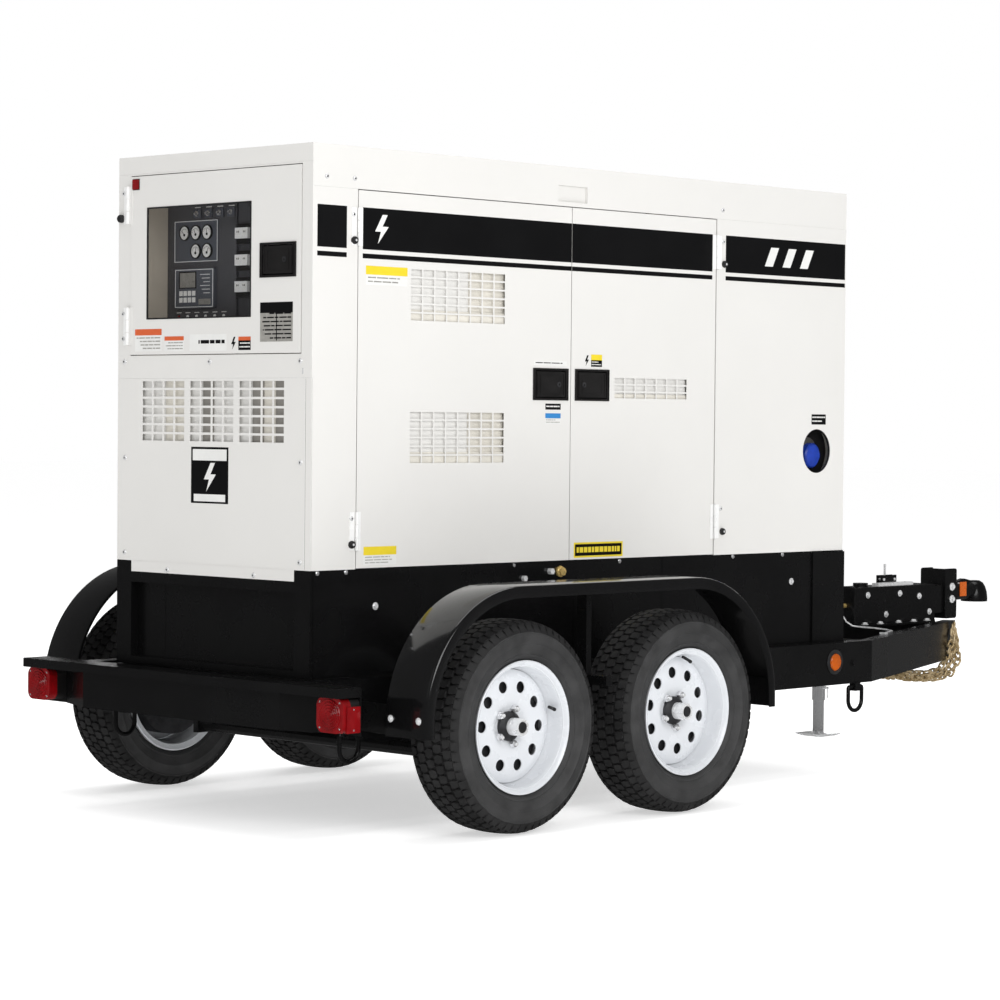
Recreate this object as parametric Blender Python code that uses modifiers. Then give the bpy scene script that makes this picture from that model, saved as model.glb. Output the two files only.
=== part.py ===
"""A towable diesel generator: a soundproof enclosure on a skid base, carried by a tandem-axle trailer.

X runs forward to the hitch, Y to the left and Z up, all in metres. Positions are measured from the
rear face of the enclosure, the centre line and the ground. The empty "trailer" then moves them so
that the origin is under the middle of the whole object.
"""

from math import atan2, cos, pi, radians, sin, sqrt

import bmesh
import bpy
from mathutils import Matrix, Quaternion, Vector

# Driving dimensions
GAP = 0.0003
REAR_END = -0.155
FRONT_END = 4.210
ORIGIN_X = (REAR_END + FRONT_END) / 2

BODY_LENGTH = 2.651
BODY_HALF = 0.4706
BODY_LOW = 0.8115
BODY_TOP = 2.124
SHEET = 0.003
ROOF_SIDE_LOW = 1.9925
ROOF_REAR_LOW = 2.068
POST_WIDTH = 0.1885

REAR_SEAM = 1.4045
REAR_CENTRE_LOW = 0.7763
REAR_CENTRE_HALF = 0.396
REAR_GRILLE = (0.348, 1.200, 1.399)

CONTROL_DOOR = (-0.4203, 0.4047, 1.4813, 2.0597)
WINDOW = (-0.186, 0.320, 1.598, 1.954)
CONTROL_LATCH = (-0.399, -0.231, 1.716, 1.824)
CONTROL_FACE = -0.0022
CONTROL_HINGE = (-0.0065, 0.417)
CONTROL_HINGE_SPANS = ((1.513, 1.636), (1.907, 2.029))

GAUGES = ((0.298, 1.880), (0.2415, 1.880), (0.185, 1.880), (0.2415, 1.820), (0.185, 1.820))
GAUGE_RADIUS = 0.026
CONTROLLER = (0.141, 0.337, 1.634, 1.764)
RECEPTACLES = ((-0.032, 1.681, 1.717), (-0.032, 1.766, 1.802), (-0.032, 1.852, 1.888))
RECEPTACLE_WIDTH = 0.062

DOOR_LOW, DOOR_HIGH = 0.8145, 1.9895
DOOR_SEAM = 1.166
DOOR_FRONT = 1.912
DOOR_DEPTH = 0.025
HINGE_OUT = 0.0065
HINGE_RADIUS = 0.006
HINGE_SPANS = ((0.870, 0.991), (1.816, 1.935))
LATCH_LOW, LATCH_HIGH = 1.347, 1.453
LATCH_REAR = (0.983, 1.153)
LATCH_FRONT = (1.186, 1.356)
GRILLE_X = (0.418, 0.850)
GRILLE_LOWER = (1.139, 1.306)
GRILLE_UPPER = (1.590, 1.757)
GRILLE_FRONT = (1.382, 1.762, 1.355, 1.429)
FILL_X, FILL_Z, FILL_RADIUS = 2.490, 1.177, 0.080
SLOT_SHARE = 0.8

PADDLE_INSET, PADDLE_RISE = 0.016, 0.011
PADDLE_OUT, PADDLE_IN = 0.004, 0.008
PIN_INSET = 0.004

MACHINERY_FLOOR = 0.8025
ENGINE_REAR = 0.9575
SHAFT_Z = 1.14
FAN_CENTRE = (1.745, 0.0, SHAFT_Z)
FAN_BLADES = 7
EXHAUST_X, EXHAUST_Y = 2.35, 0.20

SKID_LENGTH = 2.655
SKID_HALF = 0.470
SKID_LOW = 0.4783
SKID_WALL, SKID_FLOOR = 0.004, 0.005
SKID_BARS = ((0.08, 0.30), (0.38, 0.46), (0.80, 0.88), (1.22, 1.32), (1.80, 1.92), (2.24, 2.62))

RAIL_OUT, RAIL_WIDTH, RAIL_WALL = 0.550, 0.050, 0.006
RAIL_LOW, RAIL_TOP = 0.325, 0.478
RAIL_REAR = -0.0597
BEND_X = 2.733
NOSE_X, NOSE_OUT = 3.930, 0.067

BUMPER_HALF = 0.768
BUMPER_WEB_X = -0.065
BUMPER_FACE_X = -0.130
BUMPER_LOW = 0.332
BUMPER_LIP_LOW = 0.4485
LAMP_Y = (0.652, 0.7675)
LAMP_Z = (0.342, 0.448)

AXLES = (0.486, 1.263)
TYRE_RADIUS = 0.336
TYRE_STEPS = 24
AXLE_Z = TYRE_RADIUS * cos(pi / TYRE_STEPS)
WHEEL_MID = 0.8325
TYRE_HALF = 0.1025
RIM_LIP = 0.208
RIM_BEAD = 0.190
WHEEL_HOLES = 10

FENDER_INNER, FENDER_OUTER = 0.757, 0.932
FENDER_RADIUS = 0.412
FENDER_CENTRES = (0.462, 1.290)
FENDER_CENTRE_Z = 0.360
FENDER_LOW = 0.324
FENDER_LIP = 0.038

RING_BAR, RING_BEND, RING_TOP, RING_CENTRE = 0.0075, 0.040, 0.312, 0.264
RING_Y = 0.545
RING_REAR_X, RING_FRONT_X = 0.098, 2.640

JACK_X = 3.120
JACK_TUBE, JACK_BORE, JACK_LEG = 0.0255, 0.0229, 0.0222
JACK_TUBE_LOW, JACK_TUBE_TOP = 0.194, 0.860
CRANK_Z = 0.825

ACTUATOR_X = (3.268, 3.800)
ACTUATOR_HALF = 0.060
ACTUATOR_Z = (0.4783, 0.631)
CHANNEL_X = (3.865, 3.945)
COUPLER_Z = 0.590
BALL_X = 4.155
LEVER_X, LEVER_Z = 3.540, 0.664

COLOURS = {
    "ivory_paint": ((0.84, 0.83, 0.79), 0.35, 0.0),
    "black_paint": ((0.012, 0.012, 0.013), 0.22, 0.0),
    "black_plastic": ((0.02, 0.02, 0.02), 0.5, 0.0),
    "tinted_glass": ((0.05, 0.05, 0.05), 0.08, 0.0),
    "tank_plastic": ((0.05, 0.05, 0.055), 0.6, 0.0),
    "engine_paint": ((0.10, 0.11, 0.12), 0.5, 0.2),
    "alternator_paint": ((0.16, 0.17, 0.18), 0.5, 0.2),
    "radiator_metal": ((0.06, 0.06, 0.06), 0.6, 0.6),
    "exhaust_steel": ((0.35, 0.33, 0.31), 0.45, 0.9),
    "panel_grey": ((0.09, 0.09, 0.10), 0.5, 0.0),
    "rubber": ((0.018, 0.018, 0.018), 0.8, 0.0),
    "white_rim": ((0.80, 0.81, 0.82), 0.3, 0.0),
    "red_lens": ((0.55, 0.01, 0.01), 0.15, 0.0),
    "amber_lens": ((0.85, 0.22, 0.01), 0.2, 0.0),
    "zinc": ((0.62, 0.63, 0.64), 0.25, 1.0),
    "gold_zinc": ((0.65, 0.45, 0.16), 0.3, 1.0),
    "fan_plastic": ((0.04, 0.04, 0.04), 0.5, 0.0),
}

BOOLEANS = {"cut": "DIFFERENCE", "join": "UNION"}


def empty_scene():
    for old in list(bpy.data.objects):
        bpy.data.objects.remove(old, do_unlink=True)


def make_collection(name):
    collection = bpy.data.collections.new(name)
    bpy.context.scene.collection.children.link(collection)
    return collection


def make_material(name):
    colour, roughness, metallic = COLOURS[name]
    material = bpy.data.materials.new(name)
    material.use_nodes = True
    shader = material.node_tree.nodes["Principled BSDF"]
    shader.inputs["Base Color"].default_value = (*colour, 1.0)
    shader.inputs["Roughness"].default_value = roughness
    shader.inputs["Metallic"].default_value = metallic
    material.diffuse_color = (*colour, 1.0)
    return material


empty_scene()
PARTS = make_collection("towable_diesel_generator")
CUTTERS = make_collection("cutters")
MATERIALS = {name: make_material(name) for name in COLOURS}
TRAILER = bpy.data.objects.new("trailer", None)
TRAILER.location.x = -ORIGIN_X
PARTS.objects.link(TRAILER)
bpy.context.view_layer.update()


def new_object(name, mesh, material=None):
    """A node where a material is named, or else a helper that a Boolean uses."""
    piece = bpy.data.objects.new(name, mesh)
    piece.parent = TRAILER
    if material:
        mesh.materials.append(MATERIALS[material])
        PARTS.objects.link(piece)
    else:
        CUTTERS.objects.link(piece)
        piece.hide_render = True
        piece.display_type = "WIRE"
    return piece


def block(name, low, high, material=None):
    """A box between two corners."""
    low, high = Vector(low), Vector(high)
    sides = bmesh.new()
    bmesh.ops.create_cube(sides, size=1.0)
    place = Matrix.Translation((low + high) / 2) @ Matrix.Diagonal((*(high - low), 1.0))
    bmesh.ops.transform(sides, matrix=place, verts=sides.verts)
    mesh = bpy.data.meshes.new(name)
    sides.to_mesh(mesh)
    sides.free()
    return new_object(name, mesh, material)


def drum(name, start, end, radius, sides=16, material=None, end_radius=None):
    """A cylinder, or a cone, between the centres of its two ends."""
    start, end = Vector(start), Vector(end)
    along = end - start
    solid = bmesh.new()
    bmesh.ops.create_cone(
        solid,
        cap_ends=True,
        segments=sides,
        radius1=radius,
        radius2=radius if end_radius is None else end_radius,
        depth=along.length,
    )
    turn = along.to_track_quat("Z", "Y").to_matrix().to_4x4()
    bmesh.ops.transform(solid, matrix=Matrix.Translation((start + end) / 2) @ turn, verts=solid.verts)
    mesh = bpy.data.meshes.new(name)
    solid.to_mesh(mesh)
    solid.free()
    mesh.shade_smooth()
    mesh.set_sharp_from_angle(angle=radians(35))
    return new_object(name, mesh, material)


def mesh_of_curve(name, curve, material, matrix=None):
    """The mesh of a curve, welded where its caps meet its sides. The curve is removed."""
    guide = bpy.data.objects.new(name + "_curve", curve)
    bpy.context.scene.collection.objects.link(guide)
    bpy.context.view_layer.update()
    graph = bpy.context.evaluated_depsgraph_get()
    mesh = bpy.data.meshes.new_from_object(guide.evaluated_get(graph))
    bpy.data.objects.remove(guide)
    solid = bmesh.new()
    solid.from_mesh(mesh)
    bmesh.ops.remove_doubles(solid, verts=solid.verts, dist=0.00001)
    if matrix:
        bmesh.ops.transform(solid, matrix=matrix, verts=solid.verts)
    bmesh.ops.recalc_face_normals(solid, faces=solid.faces)
    solid.to_mesh(mesh)
    solid.free()
    mesh.name = name
    mesh.materials.clear()
    return new_object(name, mesh, material)


def plate(name, outline, plane, low, high, material=None):
    """A flat outline in the XY, XZ or YZ plane, given thickness along the third axis."""
    curve = bpy.data.curves.new(name, "CURVE")
    curve.dimensions = "2D"
    curve.fill_mode = "BOTH"
    curve.extrude = (high - low) / 2
    spline = curve.splines.new("POLY")
    spline.points.add(len(outline) - 1)
    for point, (a, b) in zip(spline.points, outline):
        point.co = (a, b, 0.0, 1.0)
    spline.use_cyclic_u = True
    middle = (low + high) / 2
    columns = {
        "XY": ((1, 0, 0), (0, 1, 0), (0, 0, 1)),
        "XZ": ((1, 0, 0), (0, 0, 1), (0, -1, 0)),
        "YZ": ((0, 1, 0), (0, 0, 1), (1, 0, 0)),
    }[plane]
    turn = Matrix(columns).transposed().to_4x4()
    shift = {"XY": (0, 0, middle), "XZ": (0, middle, 0), "YZ": (middle, 0, 0)}[plane]
    return mesh_of_curve(name, curve, material, Matrix.Translation(shift) @ turn)


def bar(name, points, radius, material=None, closed=False, resolution=1):
    """A round bar along a list of points."""
    curve = bpy.data.curves.new(name, "CURVE")
    curve.dimensions = "3D"
    curve.bevel_depth = radius
    curve.bevel_resolution = resolution
    curve.use_fill_caps = not closed
    spline = curve.splines.new("POLY")
    spline.points.add(len(points) - 1)
    for point, place in zip(spline.points, points):
        point.co = (*place, 1.0)
    spline.use_cyclic_u = closed
    piece = mesh_of_curve(name, curve, material)
    piece.data.shade_smooth()
    piece.data.set_sharp_from_angle(angle=radians(50))
    return piece


def turned(name, profile, centre, axis, steps, material=None):
    """A turned shape: (radius, height) points, top to bottom on the outer side, about an axis.

    A flat faces down.
    """
    line = bmesh.new()
    corners = [line.verts.new((radius, 0.0, height)) for radius, height in profile]
    for first, second in zip(corners, corners[1:] + corners[:1]):
        line.edges.new((first, second))
    mesh = bpy.data.meshes.new(name)
    line.to_mesh(mesh)
    line.free()
    piece = new_object(name, mesh, material)
    screw = piece.modifiers.new("turn", "SCREW")
    screw.steps = screw.render_steps = steps
    screw.use_merge_vertices = True
    screw.merge_threshold = 0.0001
    screw.use_smooth_shade = False
    piece.location = centre
    piece.rotation_mode = "QUATERNION"
    half_step = Quaternion((0.0, 0.0, 1.0), pi / steps)
    piece.rotation_quaternion = Vector(axis).to_track_quat("Z", "Y") @ half_step
    return piece


def boolean(piece, others, what):
    for other in others:
        step = piece.modifiers.new(f"{what}_{other.name}", "BOOLEAN")
        step.operation = BOOLEANS[what]
        step.object = other
        step.solver = "EXACT"
    return piece


def cut(piece, *others):
    return boolean(piece, others, "cut")


def join(piece, *others):
    return boolean(piece, others, "join")


def hang(piece, pivot):
    """Puts the origin of a moving piece on its joint's axis."""
    piece.data.transform(Matrix.Translation(-Vector(pivot)))
    piece.location = pivot
    return piece


def softened(piece, width):
    bevel = piece.modifiers.new("edges", "BEVEL")
    bevel.width = width
    bevel.segments = 1
    bevel.limit_method = "ANGLE"
    return piece


def y_span(side, inner, outer):
    """The two Y limits, low first, of a span given by its distances from the centre line."""
    return (inner, outer) if side > 0 else (-outer, -inner)


def side_block(name, side, x, y, z, material=None):
    near, far = y_span(side, *y)
    return block(name, (x[0], near, z[0]), (x[1], far, z[1]), material)


def side_name(side):
    return "left" if side > 0 else "right"


# Enclosure


def roof_panel():
    low = (0, -BODY_HALF, ROOF_SIDE_LOW)
    roof = block("roof_panel", low, (BODY_LENGTH, BODY_HALF, BODY_TOP), "ivory_paint")
    inside = block(
        "roof_inside",
        (SHEET, SHEET - BODY_HALF, ROOF_SIDE_LOW - 0.1),
        (BODY_LENGTH - SHEET, BODY_HALF - SHEET, BODY_TOP - SHEET),
    )
    rear = block("roof_rear_edge", (-0.1, -1, 1.9), (SHEET + GAP, 1, ROOF_REAR_LOW))
    lift = block("lift_slot", (1.097, -0.6, 2.007), (1.241, 0.6, 2.061))
    pipe = drum("exhaust_hole", (EXHAUST_X, EXHAUST_Y, 2.0), (EXHAUST_X, EXHAUST_Y, 2.2), 0.050)
    first_x, pitch, width = 1.98, 0.07, 0.04
    outlet = []
    for row in range(8):
        x = first_x + pitch * row
        outlet.append(block(f"roof_outlet_{row}", (x, -0.38, 2.1), (x + width, 0.05, 2.2)))
    return cut(roof, inside, rear, lift, pipe, *outlet)


def rear_frame_panel():
    """The sheet round the control door, with the two rear corner posts that it bends into."""
    low = (0, -BODY_HALF, BODY_LOW + GAP)
    high = (POST_WIDTH, BODY_HALF, ROOF_REAR_LOW - GAP)
    frame = block("rear_frame_panel", low, high, "ivory_paint")
    inside = block("rear_frame_inside", (SHEET, SHEET - BODY_HALF, 0), (1, BODY_HALF - SHEET, 3))
    lower = block("rear_frame_lower", (-1, -1, 0), (SHEET + GAP, 1, REAR_SEAM))
    above = block("rear_frame_above", (SHEET + GAP / 2, -1, ROOF_SIDE_LOW - GAP), (1, 1, 3))
    low_y, high_y, low_z, high_z = CONTROL_DOOR
    slack = 0.0028
    low = (-1, low_y - slack, low_z - slack)
    opening = block("door_opening", low, (0.1, high_y + slack, high_z + slack))
    return cut(frame, inside, lower, above, opening)


def columns_of(name, count, low, high):
    """The name and the limits of each of a row of even slots between low and high."""
    pitch = (high - low) / count
    half = pitch * SLOT_SHARE / 2
    middles = [low + pitch * (index + 0.5) for index in range(count)]
    return [(f"{name}_{index}", middle - half, middle + half) for index, middle in enumerate(middles)]


def rear_lower_panel():
    high = (SHEET, BODY_HALF, REAR_SEAM - GAP)
    panel = block("rear_lower_panel", (0, -BODY_HALF, BODY_LOW + GAP), high, "ivory_paint")
    high = (SHEET, REAR_CENTRE_HALF, BODY_LOW + 0.1)
    tongue = block("rear_tongue", (0, -REAR_CENTRE_HALF, REAR_CENTRE_LOW), high)
    half, bottom, top = REAR_GRILLE
    slots = []
    for name, start, end in columns_of("rear_slot", 12, -half, half):
        slots.append(block(name, (-1, start, bottom), (1, end, top)))
    return cut(join(panel, tongue), *slots)


def front_panel():
    panel = block(
        "front_panel",
        (BODY_LENGTH - SHEET, SHEET + GAP - BODY_HALF, BODY_LOW + GAP),
        (BODY_LENGTH, BODY_HALF - SHEET - GAP, ROOF_SIDE_LOW - GAP),
        "ivory_paint",
    )
    half, bottom, top = 0.36, 1.35, 1.75
    slots = []
    for name, start, end in columns_of("front_slot", 10, -half, half):
        slots.append(block(name, (2, start, bottom), (3, end, top)))
    return cut(panel, *slots)


def side_panel(side):
    """The sheet in front of the doors. The right one has the hole over the filler of the fluid tank."""
    name = f"side_panel_{side_name(side)}"
    rear_x = DOOR_FRONT + 0.003
    low, high = BODY_LOW + GAP, ROOF_SIDE_LOW - GAP
    thickness = (BODY_HALF - SHEET, BODY_HALF)
    panel = side_block(name, side, (rear_x, BODY_LENGTH), thickness, (low, high), "ivory_paint")
    depth = (BODY_HALF - 0.03, BODY_HALF - 0.001)
    join(panel, side_block(name + "_fold", side, (rear_x, rear_x + SHEET), depth, (low, high - GAP)))
    if side < 0:
        cut(panel, drum("fill_hole", (FILL_X, -0.6, FILL_Z), (FILL_X, -0.3, FILL_Z), FILL_RADIUS, 20))
    return panel


def side_door(place, side, hinge_x, x, grilles, latch):
    """A door: a tray of sheet with folded edges, its two hinges, its grilles and the hole of its latch."""
    name = f"door_{side_name(side)}_{place}"
    depth = (BODY_HALF - DOOR_DEPTH, BODY_HALF)
    door = side_block(name, side, x, depth, (DOOR_LOW, DOOR_HIGH), "ivory_paint")
    hollow = side_block(
        name + "_hollow",
        side,
        (x[0] + SHEET, x[1] - SHEET),
        (BODY_HALF - 0.1, BODY_HALF - SHEET),
        (DOOR_LOW + SHEET, DOOR_HIGH - SHEET),
    )
    holes = []
    through = (0.3, 0.6)
    for number, (x0, x1, z0, z1, count) in enumerate(grilles):
        for slot, start, end in columns_of(f"{name}_slot_{number}", count, x0, x1):
            holes.append(side_block(slot, side, (start, end), through, (z0, z1)))
    across, upright = 0.012, 0.007
    latch_x = (latch[0] + across, latch[1] - across)
    latch_z = (LATCH_LOW + upright, LATCH_HIGH - upright)
    holes.append(side_block(name + "_latch_hole", side, latch_x, through, latch_z))
    leaves = []
    leaf_width = 0.020 if x[0] > hinge_x else -0.020
    leaf_x = sorted((hinge_x, hinge_x + leaf_width))
    leaf_y = (BODY_HALF - 0.001, BODY_HALF + 0.0022)
    axis_y = side * (BODY_HALF + HINGE_OUT)
    seam = ((hinge_x - 0.0055, hinge_x + 0.0035), (0.4, BODY_HALF + GAP), (0, 3))
    for number, (low, high) in enumerate(HINGE_SPANS):
        leaf = side_block(f"{name}_leaf_{number}", side, leaf_x, leaf_y, (low, high))
        cut(leaf, side_block(f"{name}_leaf_end_{number}", side, *seam))
        ends = ((hinge_x, axis_y, low), (hinge_x, axis_y, high))
        leaves.append(join(leaf, drum(f"{name}_knuckle_{number}", *ends, HINGE_RADIUS, 8)))
    return hang(join(cut(door, hollow, *holes), *leaves), (hinge_x, axis_y, DOOR_LOW))


def paddle(name, low, high, pivot):
    """A pull handle that swings out of its hole about an upright pin near one edge."""
    pull = softened(block(name, low, high, "black_plastic"), 0.0015)
    return hang(pull, pivot)


def side_latch(place, side, span, pin_at_low_x):
    name = f"latch_{side_name(side)}_{place}"
    x = (span[0] + PADDLE_INSET, span[1] - PADDLE_INSET)
    near, far = y_span(side, BODY_HALF - PADDLE_IN, BODY_HALF + PADDLE_OUT)
    pin_x = x[0] + PIN_INSET if pin_at_low_x else x[1] - PIN_INSET
    low = (x[0], near, LATCH_LOW + PADDLE_RISE)
    high = (x[1], far, LATCH_HIGH - PADDLE_RISE)
    return paddle(name, low, high, (pin_x, side * BODY_HALF, (LATCH_LOW + LATCH_HIGH) / 2))


def control_door():
    low_y, high_y, low_z, high_z = CONTROL_DOOR
    door = block("control_door", (CONTROL_FACE, low_y, low_z), (0.020, high_y, high_z), "ivory_paint")
    low = (CONTROL_FACE + SHEET, low_y + SHEET, low_z + SHEET)
    hollow = block("control_door_hollow", low, (0.1, high_y - SHEET, high_z - SHEET))
    window = block("window_hole", (-1, WINDOW[0], WINDOW[2]), (1, WINDOW[1], WINDOW[3]))
    low, high, bottom, top = CONTROL_LATCH
    latch = block("control_latch_hole", (-1, low + 0.012, bottom + 0.007), (1, high - 0.012, top - 0.007))
    hinges = []
    pin_x, pin_y = CONTROL_HINGE
    for number, (start, end) in enumerate(CONTROL_HINGE_SPANS):
        leaf = block(f"control_leaf_{number}", (-0.0038, high_y - 0.008, start), (-0.0008, pin_y, end))
        ends = ((pin_x, pin_y, start), (pin_x, pin_y, end))
        hinges.append(join(leaf, drum(f"control_knuckle_{number}", *ends, HINGE_RADIUS, 8)))
    return hang(join(cut(door, hollow, window, latch), *hinges), (pin_x, pin_y, low_z))


def control_window():
    low_y, high_y, low_z, high_z = WINDOW
    overlap, face, thickness = 0.010, CONTROL_FACE + SHEET + GAP, 0.004
    low = (face, low_y - overlap, low_z - overlap)
    high = (face + thickness, high_y + overlap, high_z + overlap)
    pane = block("control_window", low, high, "tinted_glass")
    return hang(pane, (*CONTROL_HINGE, low_z))


def control_latch():
    low_y, high_y, low_z, high_z = CONTROL_LATCH
    low = (CONTROL_FACE - PADDLE_OUT, low_y + PADDLE_INSET, low_z + PADDLE_RISE)
    high = (CONTROL_FACE + PADDLE_IN, high_y - PADDLE_INSET, high_z - PADDLE_RISE)
    return paddle("control_latch", low, high, (CONTROL_FACE, high[1] - PIN_INSET, (low_z + high_z) / 2))


def control_panel():
    """The instrument panel behind the window, with gauges, a controller and receptacle blocks."""
    panel = block("control_panel", (0.140, -0.400, 1.470), (0.200, 0.400, 2.050), "panel_grey")
    parts = []
    inside = 0.150
    for index, (y, z) in enumerate(GAUGES):
        parts.append(drum(f"gauge_{index}", (0.130, y, z), (inside, y, z), GAUGE_RADIUS, 12))
    low_y, high_y, low_z, high_z = CONTROLLER
    parts.append(block("controller", (0.126, low_y, low_z), (inside, high_y, high_z)))
    for index, (y, low_z, high_z) in enumerate(RECEPTACLES):
        high = (inside, y + RECEPTACLE_WIDTH, high_z)
        parts.append(block(f"receptacle_{index}", (0.118, y, low_z), high))
    return join(panel, *parts)


# Machinery inside


def feet_under(name, x, top):
    """The two feet of a machine, down to the cross bars of the skid base."""
    return [
        side_block(f"{name}_foot_{side_name(side)}", side, x, (0.14, 0.20), (MACHINERY_FLOOR, top))
        for side in (-1, 1)
    ]


def alternator():
    z = SHAFT_Z + 0.04
    body = drum("alternator", (0.34, 0, z), (0.93, 0, z), 0.235, 20, "alternator_paint")
    bell = drum("alternator_bell", (0.85, 0, z), (ENGINE_REAR - 0.0005, 0, z), 0.262, 20)
    box = block("terminal_box", (0.42, -0.15, 1.35), (0.72, 0.15, 1.52))
    return join(body, bell, box, *feet_under("alternator", (0.40, 0.86), 1.10))


def engine():
    body = block("engine", (ENGINE_REAR, -0.16, 0.98), (1.64, 0.16, 1.42), "engine_paint")
    softened(body, 0.012)
    sump = block("sump", (1.05, -0.13, 0.84), (1.55, 0.13, 1.00))
    cover = block("valve_cover", (1.02, -0.09, 1.40), (1.60, 0.09, 1.50))
    manifold = block("manifold", (1.08, 0.14, 1.28), (1.56, 0.22, 1.36))
    nose = drum("crank_nose", (1.62, 0, SHAFT_Z), (1.700, 0, SHAFT_Z), 0.060, 12)
    return join(body, sump, cover, manifold, nose, *feet_under("engine", (1.22, 1.32), 1.05))


def cooling_fan():
    hub = drum("cooling_fan", (1.7005, 0, SHAFT_Z), (1.775, 0, SHAFT_Z), 0.070, 16, "fan_plastic")
    blades = []
    for index in range(FAN_BLADES):
        blade = block(f"blade_{index}", (-0.004, 0.040, -0.045), (0.004, 0.285, 0.045))
        round_shaft = Matrix.Rotation(2 * pi * index / FAN_BLADES, 4, "X")
        turn = round_shaft @ Matrix.Rotation(radians(55), 4, "Y")
        blade.data.transform(Matrix.Translation(FAN_CENTRE) @ turn)
        blades.append(blade)
    return hang(join(hub, *blades), FAN_CENTRE)


def radiator():
    low = (1.835, -0.380, MACHINERY_FLOOR)
    core = block("radiator", low, (1.880, 0.380, 1.720), "radiator_metal")
    header = block("radiator_header", (1.828, -0.34, 1.70), (1.892, 0.34, 1.80))
    shroud = block("radiator_shroud", (1.800, -0.340, 0.850), (1.840, 0.340, 1.560))
    throat = drum("shroud_hole", (1.70, 0, SHAFT_Z), (1.8355, 0, SHAFT_Z), 0.300, 24)
    return join(core, header, cut(shroud, throat))


def muffler():
    x, y = EXHAUST_X, EXHAUST_Y
    can = drum("muffler", (x, y, 1.25), (x, y, 1.95), 0.100, 16, "exhaust_steel")
    pipe = drum("tail_pipe", (x, y, 1.90), (x, y, 2.118), 0.038, 12)
    route = ((1.40, 0.30, 1.60), (1.75, 0.30, 1.84), (2.10, 0.26, 1.84), (x + 0.01, y + 0.01, 1.80))
    inlet = bar("inlet_pipe", route, 0.030)
    half = 0.02
    stand = block("muffler_stand", (x - half, y - half, MACHINERY_FLOOR), (x + half, y + half, 1.30))
    return join(can, pipe, inlet, stand)


def fluid_tank():
    """The tank of exhaust fluid, with its filler neck and cap behind the hole in the right side."""
    tank = block("fluid_tank", (2.25, -0.42, MACHINERY_FLOOR), (2.63, -0.18, 1.08), "tank_plastic")
    softened(tank, 0.015)
    base = block("filler_base", (2.42, -0.34, 1.05), (2.56, -0.22, 1.16))
    x, z = FILL_X + 0.007, FILL_Z - 0.017
    neck = drum("filler_neck", (FILL_X, -0.28, 1.12), (x, -0.425, z), 0.030, 12)
    cap = drum("filler_cap", (x, -0.420, z), (x, -0.452, z), 0.046, 16)
    return join(tank, base, neck, cap)


def battery():
    case = block("battery", (0.09, 0.14, MACHINERY_FLOOR), (0.31, 0.38, 1.02), "black_plastic")
    softened(case, 0.006)
    y = 0.33
    posts = [
        drum(f"terminal_{index}", (x, y, 1.0), (x, y, 1.04), 0.009, 8) for index, x in enumerate((0.13, 0.27))
    ]
    return join(case, *posts)


def fuel_tank():
    low = (0.06, -0.40, SKID_LOW + SKID_FLOOR + 0.0005)
    tank = softened(block("fuel_tank", low, (1.45, 0.40, 0.745), "tank_plastic"), 0.02)
    x, y = 1.00, -0.355
    neck = drum("fuel_neck", (x, y, 0.70), (x, y, 0.86), 0.035, 12)
    return join(tank, neck)


# Skid base and trailer frame


def skid_base():
    """The black base tray, with cross bars that carry the engine and a recessed rear panel."""
    high = (SKID_LENGTH, SKID_HALF, BODY_LOW)
    base = block("skid_base", (0, -SKID_HALF, SKID_LOW), high, "black_paint")
    recess = 0.030
    hollow = block(
        "skid_hollow",
        (recess + SKID_WALL, SKID_WALL - SKID_HALF, SKID_LOW + SKID_FLOOR),
        (SKID_LENGTH - SKID_WALL, SKID_HALF - SKID_WALL, 1.0),
    )
    half = REAR_CENTRE_HALF + 0.0005
    panel = block("skid_recess", (-1, -half, 0.500), (recess, half, 0.742))
    notch = block("skid_top_notch", (-1, -half, REAR_CENTRE_LOW - GAP), (SHEET + GAP, half, 1.0))
    cut(base, hollow, panel, notch)
    edge = SKID_HALF - 0.001
    bars = [
        block(f"skid_bar_{index}", (start, -edge, 0.790), (end, edge, MACHINERY_FLOOR - 0.0005))
        for index, (start, end) in enumerate(SKID_BARS)
    ]
    post = ((2.470, SKID_LENGTH), (edge, SKID_HALF + 0.007), (SKID_LOW, BODY_LOW - 0.004))
    posts = [side_block(f"skid_post_{side_name(side)}", side, *post) for side in (-1, 1)]
    return join(base, *bars, *posts)


def rail_outline(side, outer, inner, back, past=0.0):
    """The plan of a frame rail: straight along the skid, then slanted in to the nose, or past it."""
    run, rise = NOSE_X - BEND_X, RAIL_OUT - NOSE_OUT
    length = sqrt(run * run + rise * rise)
    along = (run / length, -rise / length)
    turn = atan2(rise, run)
    points = []
    for offset in (outer, inner):
        knee = (BEND_X - offset * sin(turn / 2) / cos(turn / 2), RAIL_OUT - offset)
        end = (
            NOSE_X + offset * along[1] + past * along[0],
            NOSE_OUT - offset * along[0] + past * along[1],
        )
        line = [(back, RAIL_OUT - offset), knee, end]
        points += line if offset == outer else line[::-1]
    return [(x, side * y) for x, y in points]


def ring_lug(name, side, x):
    """A welded lug with a hole along X, which a lashing ring hangs in."""
    long, wide, y = 0.015, 0.0135, side * RING_Y
    lug = side_block(
        name, side, (x - long, x + long), (RING_Y - wide, RING_Y + wide), (0.2970, RAIL_LOW + 0.002)
    )
    return cut(lug, drum(name + "_hole", (x - 0.1, y, RING_TOP), (x + 0.1, y, RING_TOP), 0.0098, 8))


def outrigger(name, side, x, low, high):
    """A bracket from the rail out to the fender."""
    return side_block(name, side, x, (RAIL_OUT - 0.002, FENDER_OUTER - 0.012), (low, high))


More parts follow.
